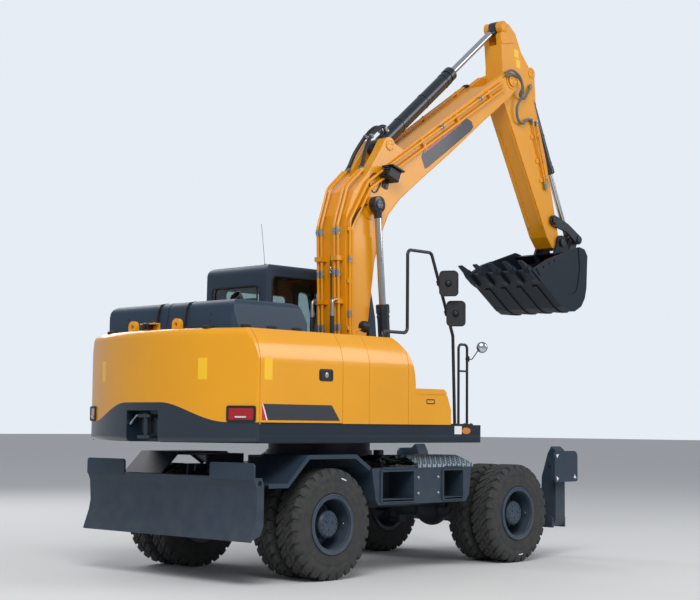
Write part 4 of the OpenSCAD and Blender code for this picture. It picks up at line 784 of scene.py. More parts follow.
def dress_body():
    """Caps, work lamp, round mirror, plates and grips of the upper body."""
    # Filler caps and a work lamp on the tank
    caps = []
    for x, y in ((-0.55, -0.72), (-0.86, -0.62)):
        caps.append(spun([(0, 0), (0.055, 0), (0.055, 0.02), (0.048, 0.03), (0.02, 0.034), (0, 0.034)], 20,
                         (x, y, 2.358), UP))
    make("filler_caps", caps, "black_plastic", "house")
    post = [(-0.14, -0.62, 2.34), (-0.14, -0.62, 2.44), (-0.05, -0.66, 2.47)]
    bracket = pipe(post, 0.03, 0.011, 8)
    make("work_lamp_bracket", [bracket] + bolt((-0.14, -0.62, 2.357), UP, 0.03), "yellow_paint", "house")
    case = [spun([(0, 0), (0.03, 0), (0.055, 0.02), (0.062, 0.06), (0.062, 0.075), (0, 0.075)], 28,
                 (-0.07, -0.66, 2.50), (1, 0, -0.12))]
    make("work_lamp_case", case, "black_plastic", "house")
    lens = [spun([(0, 0), (0.055, 0), (0.045, 0.008), (0, 0.012)], 28, (0.005, -0.66, 2.491), (1, 0, -0.12))]
    make("work_lamp_lens", lens, "clear_lens", "house")
    # Round convex mirror on a rod of the step rail
    seen = Vector((1.385, -1.1, 2.325))
    path = [(1.2, -1.05, 2.19), (1.26, -1.06, 2.19), (1.34, -1.08, 2.29), seen]
    rod = pipe(path, 0.04, 0.006, 8)
    make("round_mirror_rod", [rod] + fitting((1.2, -1.05, 2.165), UP, 0.021, 0.05), "rail_paint", "house")
    facing = turn(seen, (-0.7, -0.72, 0.0))
    rim = turned([(0, -0.03), (0.03, -0.028), (0.055, -0.012), (0.06, 0.0), (0.058, 0.008), (0.053, 0.006)], 32)
    make("round_mirror_case", [placed(rim, facing)], "black_plastic", "house")
    dome = turned([(0.054, 0.004), (0.045, 0.011), (0.03, 0.017), (0.015, 0.02), (0, 0.021)], 32)
    make("round_mirror_pane", [placed(dome, facing)], "mirror_glass", "house")
    # Plain plate and an oval reflector on the skirt
    decal("skirt_plate", [(0.76, 1.388), (0.878, 1.388), (0.878, 1.472), (0.76, 1.472)], SKIRT_Y,
          "white_band", "house")
    angles = [math.tau * i / 28 for i in range(28)]
    oval = [(0.95 + 0.07 * math.cos(a), 1.424 + 0.034 * math.sin(a)) for a in angles]
    decal("skirt_reflector", oval, SKIRT_Y, "amber_lens", "house", 0.004)
    # Plain plate low on the side
    yellow_plate("yellow_plate_side", turn((-1.925, -HALF_W - 0.0002, 1.98), RIGHT), "side_door_right")
    # Bolts of the step rail's foot, and the catch of the tool box's lid
    heads = []
    for x, y in ((0.945, -1.095), (1.205, -1.095), (0.945, -1.005), (1.205, -1.005)):
        heads += bolt((x, y, 1.497), UP, 0.018)
    make("rail_bolts", heads, "plated_steel", "house")
    lid = [placed(frame_of(0.13, 0.05, 0.012, 0.01, 0.005), turn((0.36, -HALF_W + 0.001, 1.72), RIGHT))]
    make("tool_box_catch", lid, "black_plastic", "house")
    # Tread strips on the platform
    strips = []
    for x in (0.76, 0.85):
        strips.append(plate(0.05, 0.4, 0.01, 0.003, 0.0, (x, -0.75, 1.485), UP, (0, 1, 0)))
    make("platform_grip", strips, "seal_rubber", "house")


def dress_mirrors():
    """Backs and panes of the two mirrors on the right."""
    knobs, panes = [], []
    for x, z, arm in ((0.70, 2.965, 0.36), (0.82, 2.655, 0.72)):
        centre = Vector((x, -1.2, z))
        back = Matrix.Rotation(math.radians(30), 3, "Z") @ Vector((-1, 0, 0))
        face = centre + back * 0.019
        knobs.append(spun([(0, 0), (0.034, 0), (0.034, 0.012), (0.022, 0.03), (0, 0.036)], 24, face, back))
        knobs.append(placed(frame_of(0.2, 0.27, 0.045, 0.012, 0.006), turn(face, back)))
        panes.append(plate(0.18, 0.25, 0.038, 0.002, 0.0, centre - back * 0.0195, -back))
    make("mirror_backs", knobs, "black_plastic", "house")
    make("mirror_panes", panes, "mirror_glass", "house")


def dress_cab():
    """Seals, hatch, wiper, lamps, aerial, door handle and controls."""
    # Seals round the rear and the right windows
    rear = turn((-0.551, CAB_Y, 2.705), (-1, 0, 0))
    seal = [placed(frame_of(0.745, 0.5, 0.062, 0.018, 0.008), rear)]
    make("rear_window_seal", seal, "seal_rubber", "house")
    # Starts and ends within the sill, so that every corner is turned
    window = [(0.3, 2.38), (1.08, 2.38), (1.06, 2.66), (0.96, 3.05), (-0.44, 3.05), (-0.44, 2.38),
              (0.3, 2.38)]
    rim = pipe([(x, 0.289, z) for x, z in window], 0.055, 0.008, 6)
    make("right_window_seal", [rim], "seal_rubber", "house")
    door = [(0.0, 1.55), (0.515, 1.55), (0.69, 2.0), (0.75, 3.035), (-0.365, 3.035), (-0.365, 1.55),
            (0.0, 1.55)]
    rim = pipe([(x, HALF_W - 0.012, z) for x, z in door], 0.05, 0.006, 6)
    make("door_seal", [rim], "seal_rubber", "house")
    hatch = [placed(frame_of(0.82, 0.6, 0.04, 0.022, 0.014), turn((0.15, CAB_Y, 3.166), UP, (0, 1, 0)))]
    make("roof_hatch_frame", hatch, "seal_rubber", "house")
    # Wiper on the windscreen, parked upright
    arm = [tube([Vector((1.212, 0.42, 2.06)), Vector((1.19, 0.52, 2.66))], 0.006, 8)]
    arm += [tube([Vector((1.205, 0.52, 2.30)), Vector((1.158, 0.52, 2.82))], 0.005, 6)]
    arm += [spun([(0, 0), (0.02, 0), (0.018, 0.014), (0, 0.018)], 16, (1.21, 0.42, 2.05), (1, 0, 0))]
    make("wiper", arm, "black_plastic", "house")
    # Lamps over the windscreen
    cases, lenses = [], []
    for y in (0.42, 1.1):
        cases.append(plate(0.14, 0.08, 0.02, 0.06, 0.01, (0.98, y, 3.10), (1, 0, 0.05)))
        lenses.append(plate(0.12, 0.062, 0.016, 0.006, 0.003, (1.04, y, 3.103), (1, 0, 0.05)))
    make("cab_lamp_cases", cases, "black_plastic", "house")
    make("cab_lamp_lenses", lenses, "clear_lens", "house")
    # Aerial on the roof's rear
    mast = tube([Vector((-0.4, 0.45, 3.165)), Vector((-0.46, 0.45, 3.62))], 0.0025, 6)
    foot = spun([(0, 0), (0.018, 0), (0.012, 0.02), (0.005, 0.03), (0, 0.03)], 16, (-0.4, 0.45, 3.165), UP)
    make("aerial", [mast, foot], "black_plastic", "house")
    # Door handle sunk in the door
    pull = [placed(frame_of(0.19, 0.07, 0.02, 0.008, 0.0009), turn((0.5, HALF_W - 0.0002, 1.9), (0, 1, 0)))]
    make("cab_door_handle", pull, "black_plastic", "cab_door")
    # Wheel, levers and screen inside
    hub, lean = (0.66, CAB_Y, 2.38), (-0.35, 0, 1)
    rim = [(0.17, -0.014), (0.184, -0.008), (0.187, 0.004), (0.178, 0.014), (0.166, 0.008), (0.163, -0.006),
           (0.17, -0.014)]
    boss = [(0, -0.03), (0.04, -0.02), (0.045, 0.0), (0.02, 0.012), (0, 0.012)]
    wheel = [spun(rim, 40, hub, lean), spun(boss, 20, (0.66, CAB_Y, 2.37), lean)]
    face = turn(hub, lean)
    for k in range(3):
        a = math.radians(90 + 120 * k)
        wheel.append(tube([face @ Vector((0.03 * math.cos(a), 0.03 * math.sin(a), 0)),
                           face @ Vector((0.17 * math.cos(a), 0.17 * math.sin(a), 0))], 0.011, 8))
    for s in (-1, 1):
        y = CAB_Y + 0.31 * s
        wheel.append(hose([(0.2, y, 2.17), (0.21, y, 2.25), (0.2, y, 2.30)], 0.012, 8))
        wheel.append(spun([(0, 0), (0.02, 0), (0.028, 0.05), (0.03, 0.1), (0.02, 0.125), (0, 0.13)], 16,
                          (0.2, y, 2.28), (-0.05, 0, 1)))
    wheel.append(plate(0.2, 0.14, 0.02, 0.03, 0.006, (0.86, 0.42, 2.35), (-1, 0.5, 0.2)))
    make("cab_controls", wheel, "interior_plastic", "house")


dress_doors()
dress_counterweight()
dress_hood()
dress_body()
dress_mirrors()
dress_cab()


# Boom, arm and bucket

# Half widths of boom and arm, the boom's near side, and pins as [x, z]
BOOM_HALF, ARM_HALF = 0.2, 0.129
NEAR = BOOM_Y - BOOM_HALF
TIP = (2.98, 5.675)
LIFT_FOOT, LIFT_EYE = (0.68, 1.5), (0.472, 3.855)
ARM_FOOT, ARM_EYE = (0.765, 4.56), (2.915, 6.345)
CURL_FOOT, CURL_EYE = (3.467, 5.86), (4.422, 3.862)
BUCKET_PIN, LINK_ARM, LINK_BUCKET = (4.06, 3.79), (3.902, 4.057), (4.3, 3.45)
BLADE_FOOT, BLADE_EYE, BLADE_Y = (-1.4, 1.01), (-1.96, 0.83), 0.2
# Rows of the pair of thin pipes on the boom's top, left of the arm cylinder
TOP_ROWS = (BOOM_Y + 0.158, BOOM_Y + 0.186)
# Slope of the boom's upper side pipes
PIPE_RISE = 0.6356


def spot(p, y):
    """The point of an [x, z] pair at y."""
    return Vector((p[0], y, p[1]))


def pin_caps(point, half, radius, middle=BOOM_Y):
    """Caps at both ends of a pin along Y, half to each side of middle."""
    right = pin_cap(spot(point, middle - half), RIGHT, radius)
    return right + pin_cap(spot(point, middle + half), (0, 1, 0), radius)


def knuckle(eye, root, y, radius, width, rod, reach):
    """Black end of a rod: a sleeve round its eye, and a neck along the rod."""
    half = width / 2 + 0.0015
    ring = turned(
        [(0, -half), (radius, -half), (radius + 0.003, -half + 0.002), (radius + 0.003, half - 0.002),
         (radius, half), (0, half)], 36
    )
    back = (spot(root, y) - spot(eye, y)).normalized()
    near = 0.8 * radius
    neck = turned(
        [(0, near), (rod * 1.3, near), (rod * 1.3, reach * 0.72), (rod * 1.12, reach * 0.8),
         (rod * 1.12, reach), (0, reach)], 28
    )
    return [placed(ring, turn(spot(eye, y), (0, 1, 0))), placed(neck, turn(spot(eye, y), back))]


def dress_cylinders():
    """Rod ends, oil pipes, bands and gland bolts of the cylinders."""
    parts = []
    for s in (-1, 1):
        y = BOOM_Y + s * 0.29
        parts += knuckle(LIFT_EYE, LIFT_FOOT, y, 0.088, 0.076, 0.037, 0.15)
        parts += pin_cap(spot(LIFT_EYE, y + s * 0.039), (0, s, 0), 0.055)
    make("boom_rod_ends", parts, "cylinder_paint", "boom_rods")
    parts = knuckle(ARM_EYE, ARM_FOOT, BOOM_Y, 0.075, 0.1, 0.042, 0.15)
    make("arm_rod_end", parts, "cylinder_paint", "arm_rod")
    parts = knuckle(CURL_EYE, CURL_FOOT, BOOM_Y, 0.068, 0.09, 0.033, 0.095)
    make("bucket_rod_end", parts, "cylinder_paint", "bucket_rod")
    parts = []
    for y in (BLADE_Y, -BLADE_Y):
        parts += knuckle(BLADE_EYE, BLADE_FOOT, y, 0.038, 0.064, 0.025, 0.06)
    make("blade_rod_ends", parts, "cylinder_paint", "blade_rods")
    # Oil ports and their pipes along the barrels
    for name, body, root, eye, ys, radius, length, side in (
        ("boom", "boom_barrels", LIFT_FOOT, LIFT_EYE, (BOOM_Y - 0.29, BOOM_Y + 0.29), 0.066, 1.275, 1),
        ("arm", "arm_barrel", ARM_FOOT, ARM_EYE, (BOOM_Y,), 0.078, 1.672, -1),
        ("bucket", "bucket_barrel", CURL_FOOT, CURL_EYE, (BOOM_Y,), 0.060, 1.302, -1),
    ):
        pipes, bands = [], []
        for y in ys:
            ahead = (spot(eye, y) - spot(root, y)).normalized()
            back = ahead.cross(Vector((0, side, 0)))
            base = spot(root, y)
            out = radius + 0.013
            low, high = base + ahead * 0.16, base + ahead * (length - 0.05)
            path = [low + back * (radius - 0.01), low + back * out, high + back * out,
                    high + back * (radius - 0.002)]
            pipes.append(pipe(path, 0.012, 0.009, 8))
            for at in (0.3, 0.62, 0.9):
                centre = base + ahead * (length * at)
                bands.append(spun([(radius, -0.014), (radius + 0.004, -0.014), (radius + 0.004, 0.014),
                                   (radius, 0.014)], 32, centre, ahead))
                bands.append(plate(0.03, 0.04, 0.006, 0.02, 0.003, centre + back * radius, back, ahead))
            # Gland nut's bolts
            face = turn(base + ahead * length, ahead)
            for k in range(8):
                a = math.tau * k / 8
                seat = (radius - 0.008) * math.cos(a), (radius - 0.008) * math.sin(a), 0
                pipes += bolt(face @ Vector(seat), ahead, 0.014)
        make(f"{name}_barrel_pipes", pipes + bands, "cylinder_paint", body)


def dress_bucket_cylinder():
    """Ports and hose stubs of the bucket cylinder, on the side away from the arm."""
    ahead = (spot(CURL_EYE, BOOM_Y) - spot(CURL_FOOT, BOOM_Y)).normalized()
    out = ahead.cross(Vector(RIGHT))
    base = spot(CURL_FOOT, BOOM_Y)
    block = [plate(0.07, 0.12, 0.01, 0.05, 0.006, base + ahead * 1.2 + out * 0.055, out, ahead)]
    block += [plate(0.06, 0.07, 0.01, 0.04, 0.006, base + ahead * 0.14 + out * 0.055, out, ahead)]
    make("bucket_cylinder_ports", block, "cylinder_paint", "bucket_barrel")
    ends = []
    for at in (0.14, 0.33, 1.2):
        ends += fitting(base + ahead * at + out * 0.09, out + ahead * 0.4, 0.018, 0.05)
    make("bucket_cylinder_fittings", ends, "black_plastic", "bucket_barrel")


def dress_boom():
    """Weld seams, blank banner, pin caps and work lamp."""
    # Weld seams along the edges of the side plates
    back = [(0.135, 2.3), (0.10, 2.45), (0.07, 3.3), (0.085, 3.72), (0.2, 3.99), (0.4, 4.19)]
    top = [(1.0, 4.54), (2.83, 5.745)]
    under = [(2.75, 5.327), (2.431, 5.098), (1.825, 4.633), (1.321, 4.269), (0.934, 3.979), (0.744, 3.782),
             (0.638, 3.57), (0.527, 3.258), (0.413, 2.495), (0.385, 2.3)]
    seams = []
    for y in (NEAR, BOOM_Y + BOOM_HALF):
        for path in (back, top, under):
            seams.append(tube([spot(p, y) for p in path], 0.005, 6))
    make("boom_seams", seams, "boom_paint", "boom")
    # Blank banner with its red upper edge
    banner = [(1.365, 4.375), (1.42, 4.40), (2.19, 4.935), (2.235, 4.99), (2.20, 5.05), (2.10, 5.075),
              (1.96, 5.01), (1.50, 4.705), (1.345, 4.60), (1.30, 4.50)]
    decal("boom_banner", banner, NEAR, "banner_dark", "boom")
    stripe = [(1.335, 4.545), (1.50, 4.645), (1.97, 4.96), (2.09, 5.07), (2.02, 5.045), (1.96, 5.01),
              (1.50, 4.705), (1.345, 4.60)]
    decal("boom_banner_stripe", stripe, NEAR, "red_band", "boom", 0.0018)
    caps = pin_caps(TIP, BOOM_HALF + 0.014, 0.075) + pin_caps(ARM_FOOT, BOOM_HALF, 0.06)
    make("boom_pin_caps", caps, "boom_paint", "boom")
    # Work lamp below the pipes: hood, case, bracket and a loop of cable
    lamp_at = turn((0.70, NEAR - 0.015, 4.215), RIGHT, (0.28, 0, 1))
    box = [(-0.10, -0.055), (0.085, -0.065), (0.10, 0.055), (-0.075, 0.065)]
    hood = lamp_at @ Matrix.Translation((0.01, 0.068, 0))
    case = [placed(slab(box, 0.13, 0.012), lamp_at)]
    case.append(pad(0.215, 0.018, 0.006, 0.16, 0.004, hood))
    for k in range(4):
        fin = lamp_at @ Matrix.Translation((-0.105, -0.035 + 0.025 * k, 0.065))
        case.append(pad(0.024, 0.012, 0.003, 0.05, 0.002, fin))
    make("boom_lamp_case", case, "black_plastic", "boom")
    bracket = [plate(0.09, 0.15, 0.015, 0.016, 0.003, (0.70, NEAR, 4.14), RIGHT, (0.28, 0, 1))]
    make("boom_lamp_bracket", bracket + bolt((0.68, NEAR - 0.016, 4.09), RIGHT, 0.02), "link_paint", "boom")
    front = lamp_at @ Matrix.Translation((0.097, -0.005, 0.01))
    lens = [pad(0.006, 0.09, 0.002, 0.11, 0.004, front)]
    make("boom_lamp_lens", lens, "clear_lens", "boom")
    wire = hose([(0.60, NEAR - 0.03, 4.19), (0.50, NEAR - 0.012, 4.21), (0.43, NEAR - 0.01, 4.12),
                 (0.46, NEAR - 0.01, 4.03), (0.52, NEAR - 0.01, 4.0), (0.585, NEAR - 0.01, 4.06),
                 (0.62, NEAR - 0.01, 4.14)], 0.006, 8)
    make("boom_lamp_wire", [wire], "hose_rubber", "boom")


def dress_pipes():
    """Fittings and clamps on the boom's pipes, and the hoses that leave them."""
    rows, bolts = [], []
    ys = [BOOM_Y + y for y in (-0.15, -0.095, 0.095, 0.15)]
    for z in (2.47, 3.05, 3.5):
        x = 0.045 - (z - 2.2) * 0.02857
        for y in ys:
            rows += fitting((x, y, z), (-0.0286, 0, 1), 0.021, 0.06)
    for z in (2.32, 2.78, 3.24):
        for y in ys:
            bolts += bolt((0.004, y + 0.027, z + 0.005), (-1, 0, 0), 0.018)
    for x, z in ((0.12, 2.62), (0.118, 3.2), (0.62, 4.25), (1.6, 4.872), (2.3, 5.317)):
        tilt = UP if z < 4 else (2.36, 0, 1.5)
        rows += fitting((x, BOOM_Y - 0.227, z), tilt, 0.021, 0.06)
    for x in (0.7, 1.3, 1.9, 2.5):
        z = 4.11 + (x - 0.4) * PIPE_RISE
        for d in (-0.045, -0.015):
            bolts += bolt((x + 0.02, BOOM_Y - 0.2315, z + d), RIGHT, 0.016)
    make("pipe_fittings", rows, "plated_steel", "boom")
    make("pipe_clamp_bolts", bolts, "boom_paint", "boom")
    # Two hoses from the back pipes to the arm cylinder's base
    ends, hoses = [], []
    for y, to in ((BOOM_Y - 0.095, -0.045), (BOOM_Y + 0.095, 0.045)):
        path = slack([(0.39, y, 4.25), (0.44, y, 4.33), (0.50, y * 0.5 + BOOM_Y * 0.5 + to * 0.6, 4.47),
                      (0.62, BOOM_Y + to, 4.65), (0.76, BOOM_Y + to, 4.775), (0.85, BOOM_Y + to, 4.80),
                      (0.885, BOOM_Y + to, 4.76)])
        hoses.append(tube(path, 0.022, 12))
        ends += fitting((0.385, y, 4.245), (0.8, 0, 0.6), 0.026, 0.05)
        ends += fitting((0.845, BOOM_Y + to, 4.80), (0.8, 0, -0.7), 0.026, 0.06)
        ends += fitting((0.62, BOOM_Y + to, 4.65), (0.75, 0, 0.66), 0.0245, 0.03)
    make("arm_cylinder_hoses", hoses, "hose_rubber", "boom")
    make("arm_cylinder_hose_ends", ends, "plated_steel", "boom")
    # Silver elbows at the boom's foot with hoses that go down into the body
    elbows, hoses = [], []
    for y in (BOOM_Y - 0.15, BOOM_Y + 0.15):
        elbow = [(0.02, y, 2.80), (-0.065, y, 2.80), (-0.065, y, 2.66)]
        elbows.append(pipe(elbow, 0.045, 0.017, 12))
        elbows += fitting((-0.065, y, 2.69), DOWN, 0.023, 0.06)
        hoses.append(hose([(-0.065, y, 2.64), (-0.07, y, 2.5), (-0.06, y, 2.38), (-0.03, y, 2.2),
                           (-0.05, y, 2.04), (-0.12, y, 2.0)], 0.021, 12))
    make("boom_foot_elbows", elbows, "plated_steel", "boom")
    make("boom_foot_hoses", hoses, "hose_rubber", "boom")
    # Thin grease line between the pairs of pipes, with its two tees
    line = tube([Vector((0.062, BOOM_Y - 0.02, 2.36)), Vector((0.036, BOOM_Y - 0.02, 3.28))], 0.007, 8)
    make("grease_line", [line], "hose_rubber", "boom")
    tees = []
    for x, z in ((0.054, 2.65), (0.04, 3.12)):
        tees += fitting((x, BOOM_Y - 0.02, z - 0.03), (-0.0286, 0, 1), 0.014, 0.06)
        tees += fitting((x, BOOM_Y - 0.02, z), (-0.5, -1, 0), 0.012, 0.05)
    make("grease_tees", tees, "plated_steel", "boom")
    # Two pipes on the boom's top, beside the arm cylinder, with clamps and a hose's elbow at the end
    pipes, clamps = [], []
    for y in TOP_ROWS:
        pipes.append(tube([Vector((0.98, y, 4.553)), Vector((2.50, y, 5.562))], 0.013, 10))
    for x in (1.16, 1.78, 2.38):
        where = turn((x, BOOM_Y + 0.171, 4.529 + (x - 1) * 0.6583), (-0.55, 0, 0.835), (0, 1, 0))
        clamps.append(pad(0.05, 0.056, 0.008, 0.05, 0.006, where))
        clamps += bolt(where @ Vector((0, 0, 0.05)), (-0.55, 0, 0.835), 0.018)
    make("top_pipes", pipes + clamps, "boom_paint", "boom")
    hook = [hose([(2.495, y, 5.559), (2.54, y, 5.592), (2.585, y, 5.594), (2.61, y, 5.556)], 0.0135, 10)
            for y in TOP_ROWS]
    make("top_pipe_hooks", hook, "hose_rubber", "boom")
    cable = slack([(0.41, NEAR - 0.028, 3.86), (0.30, NEAR - 0.03, 3.82), (0.20, NEAR - 0.026, 3.71),
                   (0.135, NEAR - 0.02, 3.56), (0.125, NEAR - 0.012, 3.42)])
    make("cylinder_eye_hose", [tube(cable, 0.009, 8)], "hose_rubber", "boom")
    end = fitting((0.125, NEAR - 0.012, 3.46), DOWN, 0.013, 0.1)
    make("cylinder_eye_hose_end", end, "plated_steel", "boom")


def dress_arm():
    """Pin caps, pipes, the hoses over the joint, plain plates and weld seams."""
    front, rear = BOOM_Y - ARM_HALF, BOOM_Y + ARM_HALF
    caps = pin_caps(CURL_FOOT, ARM_HALF, 0.055) + pin_caps(ARM_EYE, ARM_HALF, 0.06)
    make("arm_pin_caps", caps, "boom_paint", "arm")
    make("arm_link_pin_caps", pin_caps(LINK_ARM, 0.18, 0.05), "link_paint", "arm")
    # Two pipes down the arm's side in yellow clamps, and a silver tee at their foot
    pipes, clamps, tees = [], [], []
    for path in ([(3.46, 5.26), (3.53, 5.03), (3.655, 4.72), (3.725, 4.50)],
                 [(3.54, 5.26), (3.62, 4.98), (3.73, 4.62)]):
        pipes.append(pipe([spot(p, front - 0.024) for p in path], 0.1, 0.012, 10))
    for x, z in ((3.525, 5.08), (3.635, 4.79), (3.71, 4.56)):
        where = turn((x, front, z), RIGHT, (-0.35, 0, 1))
        clamps.append(pad(0.16, 0.055, 0.01, 0.012, 0.002, where))
        seat = where @ Matrix.Translation((0.04, 0, 0))
        clamps.append(pad(0.05, 0.05, 0.008, 0.044, 0.004, seat))
        clamps += bolt(where @ Vector((0.04, 0, 0.044)), RIGHT, 0.018)
    make("arm_pipes", pipes + clamps, "boom_paint", "arm")
    tees += fitting((3.715, front - 0.024, 4.53), (0.3, 0, -1), 0.022, 0.09)
    tees += fitting((3.735, front - 0.024, 4.60), (0.3, 0, -1), 0.02, 0.07)
    tees += fitting((3.46, front - 0.024, 5.27), (0.2, 0, -1), 0.019, 0.05)
    tees += fitting((3.54, front - 0.024, 5.27), (0.2, 0, -1), 0.019, 0.05)
    make("arm_pipe_tees", tees, "plated_steel", "arm")
    # Sleeved hoses over the joint, fixed in place, and a hose that hangs below it
    first = slack([(2.80, NEAR - 0.03, 5.735), (2.92, NEAR - 0.05, 5.785), (3.06, NEAR - 0.06, 5.73),
                   (3.14, NEAR - 0.04, 5.62), (3.17, front - 0.05, 5.53), (3.27, front - 0.04, 5.505),
                   (3.355, front - 0.03, 5.60), (3.43, front - 0.025, 5.70)])
    bent("joint_hose_to_cylinder", [tube(first, 0.015, 10)], "sleeved_hose")
    second = slack([(2.83, NEAR - 0.03, 5.70), (2.97, NEAR - 0.04, 5.74), (3.12, NEAR - 0.04, 5.68),
                    (3.175, NEAR - 0.02, 5.54), (3.115, front - 0.05, 5.38), (3.14, front - 0.045, 5.23),
                    (3.24, front - 0.04, 5.19), (3.34, front - 0.03, 5.255), (3.45, front - 0.024, 5.27)])
    bent("joint_hose_to_pipes", [tube(second, 0.016, 10)], "sleeved_hose")
    end = fitting((3.40, front - 0.026, 5.665), (0.9, 0, 1), 0.02, 0.05)
    make("joint_hose_ends", end, "plated_steel", "arm")
    # Plain plates at the arm's head
    for name, x, z in (("upper", 3.165, 6.055), ("lower", 3.2, 5.935)):
        decal(f"arm_plate_{name}", [(x - 0.04, z - 0.045), (x + 0.045, z - 0.055), (x + 0.04, z + 0.045),
                                    (x - 0.045, z + 0.055)], front, "decal_yellow", "arm")
    seams = []
    under = [(2.885, 5.84), (2.905, 5.435), (3.79, 3.84)]
    back = [(4.019, 3.9), (3.767, 4.811), (3.5, 5.56)]
    for y in (front, rear):
        seams += [tube([spot(p, y) for p in path], 0.004, 6) for path in (under, back)]
    make("arm_seams", seams, "boom_paint", "arm")


def dress_bucket():
    """Caps of the bucket's and its links' pins."""
    caps = pin_caps(BUCKET_PIN, 0.185, 0.05) + pin_caps(LINK_BUCKET, 0.185, 0.048)
    make("bucket_pin_caps", caps, "link_paint", "bucket")
    make("link_pin_caps", pin_caps(CURL_EYE, 0.181, 0.045), "link_paint", "tipping_links")


# Undercarriage


def serrated(width, pitch=0.036, tooth=0.014, root=0.012):
    """Outline of a grip strip with teeth along its upper edge."""
    count = int(width / pitch)
    start = -count * pitch / 2
    points = [(start, 0.0), (-start, 0.0)]
    for i in range(count, 0, -1):
        x = start + i * pitch
        points += [(x, root), (x - 0.3 * pitch, root + tooth), (x - 0.7 * pitch, root + tooth)]
    return points + [(start, root)]


def dress_boxes():
    """Toothed grips and bolts of the step boxes."""
    for side, s in (("left", 1), ("right", -1)):
        strips = []
        for low, high in ((-0.35, 0.12), (0.59, 0.90)):
            middle, width = (low + high) / 2, high - low
            at_foot = turn((middle, s * 1.232, 0.722), (0, s, 0))
            at_top = turn((middle, s * 1.232, 1.036), (0, s, 0))
            strips += [placed(slab(serrated(width), 0.005), at) for at in (at_foot, at_top)]
            # Grip ridges on the step's floor
            for k in range(3):
                ridge = turn((middle, s * (1.19 - 0.07 * k), 0.735), UP, (0, s, 0))
                strips.append(pad(width - 0.06, 0.022, 0.008, 0.008, 0.003, ridge))
        # Bolts of the box, and of the bent tread
        heads = []
        for x in (0.20, 0.51):
            for z in (0.79, 0.95):
                heads += bolt((x, s * 1.225, z), (0, s, 0), 0.02)
        for x in (0.27, 0.93):
            heads += bolt((x, s * 1.235, 1.068), (0, s, 0), 0.016)
        make(f"step_grips_{side}", strips, "chassis_paint", "chassis")
        make(f"step_bolts_{side}", heads, "plated_steel", "chassis")


def dress_chassis():
    """Valve block, its fittings, and hoses to the swing centre and the outriggers."""
    block = [plate(0.2, 0.13, 0.012, 0.12, 0.006, (0.06, -0.80, 1.052), UP)]
    block += [plate(0.09, 0.07, 0.01, 0.05, 0.006, (0.06, -0.80, 1.172), UP)]
    block += [spun([(0, 0), (0.045, 0), (0.05, 0.03), (0.05, 0.11), (0.035, 0.13), (0, 0.13)], 20,
                   (0.19, -0.80, 1.11), (1, 0, 0))]
    make("valve_block", block, "link_paint", "chassis")
    ends, hoses = [], []
    for k, x in enumerate((-0.02, 0.035, 0.09, 0.14)):
        start = Vector((x, -0.735, 1.09 + 0.02 * (k % 2)))
        ends += fitting(start, (0, 1, 0), 0.016, 0.05)
        first = [start + Vector((0, 0.04, 0)), start + Vector((0.01, 0.12, 0.05 - 0.02 * k)),
                 Vector((x + 0.03 * k, -0.56, 1.12 + 0.012 * k)), Vector((x + 0.05, -0.50, 1.06))]
        hoses.append(hose(first, 0.013, 10))
        side = Vector((x, -0.865, 1.12 - 0.02 * (k % 2)))
        ends += fitting(side, RIGHT, 0.016, 0.045)
        second = [side + Vector((0, -0.035, 0)), side + Vector((0.03, -0.09, 0.015)),
                  Vector((x + 0.22, -0.97 - 0.02 * k, 1.085 + 0.02 * k)), Vector((0.42, -0.93, 1.075))]
        hoses.append(hose(second, 0.012, 10))
    make("valve_fittings", ends, "plated_steel", "chassis")
    make("valve_hoses", hoses, "hose_rubber", "chassis")


def dress_outriggers():
    """Corner marks, pin caps and a hose on each leg."""
    for side, s in (("left", 1), ("right", -1)):
        body = f"outrigger_{side}"
        marks = []
        for x, z, turned_by in ((2.635, 1.15, 0.5), (2.63, 0.895, 2.2), (2.975, 0.90, -0.6)):
            tip = [(0.03 * math.cos(turned_by + t), 0.03 * math.sin(turned_by + t)) for t in (0, 2.3, 3.9)]
            marks.append(placed(slab(tip, 0.0015), turn((x, s * 1.2, z), (0, s, 0))))
        make(f"foot_marks_{side}", marks, "white_band", body)
        caps = []
        for x, out in ((2.728, -1), (2.932, 1)):
            caps += pin_cap((x, s * 1.035, 1.066), (out, 0, 0), 0.042)
        for x, out in ((2.704, -1), (2.956, 1)):
            caps += pin_cap((x, s * 1.0, 0.4), (out, 0, 0), 0.05)
        make(f"leg_pin_caps_{side}", caps, "chassis_paint", body)
        # Hose from the frame to the leg's cylinder, held along the cheek
        line = hose([(2.70, s * 0.33, 0.60), (2.69, s * 0.40, 0.70), (2.695, s * 0.46, 0.66),
                     (2.69, s * 0.52, 0.56)], 0.011, 10)
        make(f"outrigger_hose_{side}", [line], "hose_rubber", "chassis")


def dress_blade():
    """Caps of the pins that hold the blade's rods."""
    caps = pin_caps(BLADE_EYE, 0.062, 0.028, BLADE_Y) + pin_caps(BLADE_EYE, 0.062, 0.028, -BLADE_Y)
    make("blade_pin_caps", caps, "chassis_paint", "blade")


dress_boxes()
dress_chassis()
dress_outriggers()
dress_blade()

dress_cylinders()
dress_bucket_cylinder()
dress_boom()
dress_pipes()
dress_arm()
dress_bucket()


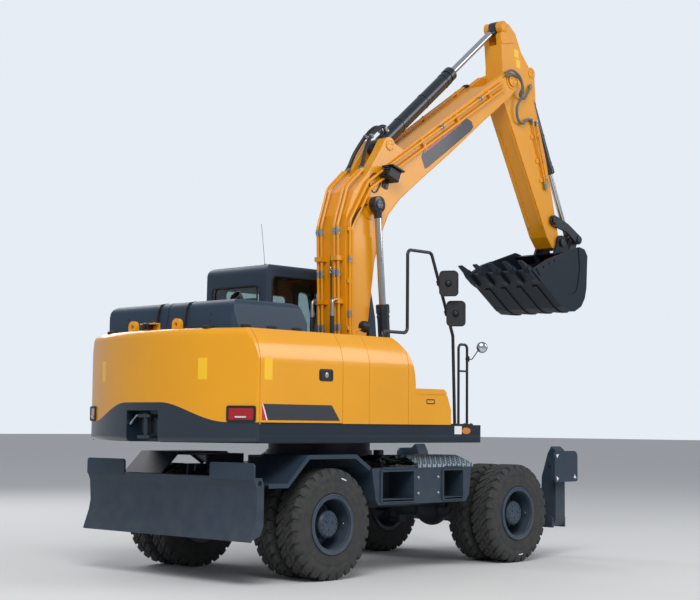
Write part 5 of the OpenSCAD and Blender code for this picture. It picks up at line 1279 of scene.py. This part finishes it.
def aim_camera():
    """The photograph's viewpoint: where it stands, its heading, tilt and roll, and its lens."""
    place = Vector((-11.2395, -11.1366, 1.4737))
    heading, tilt, roll = 0.7609, 0.0842, 0.0087
    lens_mm, sensor_mm = 76.2, 36.0
    ahead = Vector(
        (math.cos(heading) * math.cos(tilt), math.sin(heading) * math.cos(tilt), math.sin(tilt))
    )
    right = ahead.cross(Vector(UP)).normalized()
    up = right.cross(ahead)
    across = math.cos(roll) * right + math.sin(roll) * up
    upward = -math.sin(roll) * right + math.cos(roll) * up
    data = bpy.data.cameras.new("camera")
    data.lens, data.sensor_width = lens_mm, sensor_mm
    data.clip_start, data.clip_end = 0.1, 500
    camera = bpy.data.objects.new("camera", data)
    facing = Matrix((across, upward, -ahead)).transposed()
    camera.matrix_world = Matrix.Translation(place) @ facing.to_4x4()
    bpy.context.scene.collection.objects.link(camera)
    bpy.context.scene.camera = camera


def lay_floor():
    """A wide pale floor."""
    reach = 150
    mesh = bpy.data.meshes.new("floor")
    corners = [(-reach, -reach, 0), (reach, -reach, 0), (reach, reach, 0), (-reach, reach, 0)]
    mesh.from_pydata(corners, [], [(0, 1, 2, 3)])
    floor = bpy.data.objects.new("floor", mesh)
    mesh.materials.append(material("floor", Base_Color=colour("#d6d6d4"), Roughness=0.9)[0])
    bpy.context.scene.collection.objects.link(floor)


def lamp(name, place, target, size, watts):
    """One square soft light aimed at a point."""
    data = bpy.data.lights.new(name, "AREA")
    data.size, data.energy = size, watts
    obj = bpy.data.objects.new(name, data)
    obj.location = place
    obj.rotation_mode = "QUATERNION"
    obj.rotation_quaternion = (Vector(target) - Vector(place)).to_track_quat("-Z", "Y")
    bpy.context.scene.collection.objects.link(obj)


def light_studio():
    """An even pale sky, which the camera and clear panes see as a plain backdrop, and soft lamps."""
    world = bpy.data.worlds.new("sky")
    world.use_nodes = True
    bpy.context.scene.world = world
    tree = world.node_tree
    tree.nodes.clear()
    rays = add(tree, "ShaderNodeLightPath").outputs
    light = add(tree, "ShaderNodeBackground", {"Color": colour("#eef4ff"), "Strength": 0.5})
    backdrop = add(tree, "ShaderNodeBackground", {"Color": colour("#e6edf5"), "Strength": 1.0})
    # Paint and metal reflect the dimmer sky
    seen = add(
        tree, "ShaderNodeMath", {0: rays["Is Camera Ray"], 1: rays["Is Transmission Ray"]}, operation="MAXIMUM"
    )
    either = add(
        tree, "ShaderNodeMixShader", {0: seen.outputs[0], 1: light.outputs[0], 2: backdrop.outputs[0]}
    )
    add(tree, "ShaderNodeOutputWorld", {"Surface": either.outputs[0]})
    lamp("key", (-9, -9, 12), (0, 0, 1.8), 7, 1500)
    lamp("fill", (10, -12, 9), (0.5, 0, 1.5), 8, 700)
    lamp("back", (2, 13, 10), (0, 0, 2), 8, 700)


aim_camera()
lay_floor()
light_studio()
bpy.context.scene.view_settings.view_transform = "Standard"
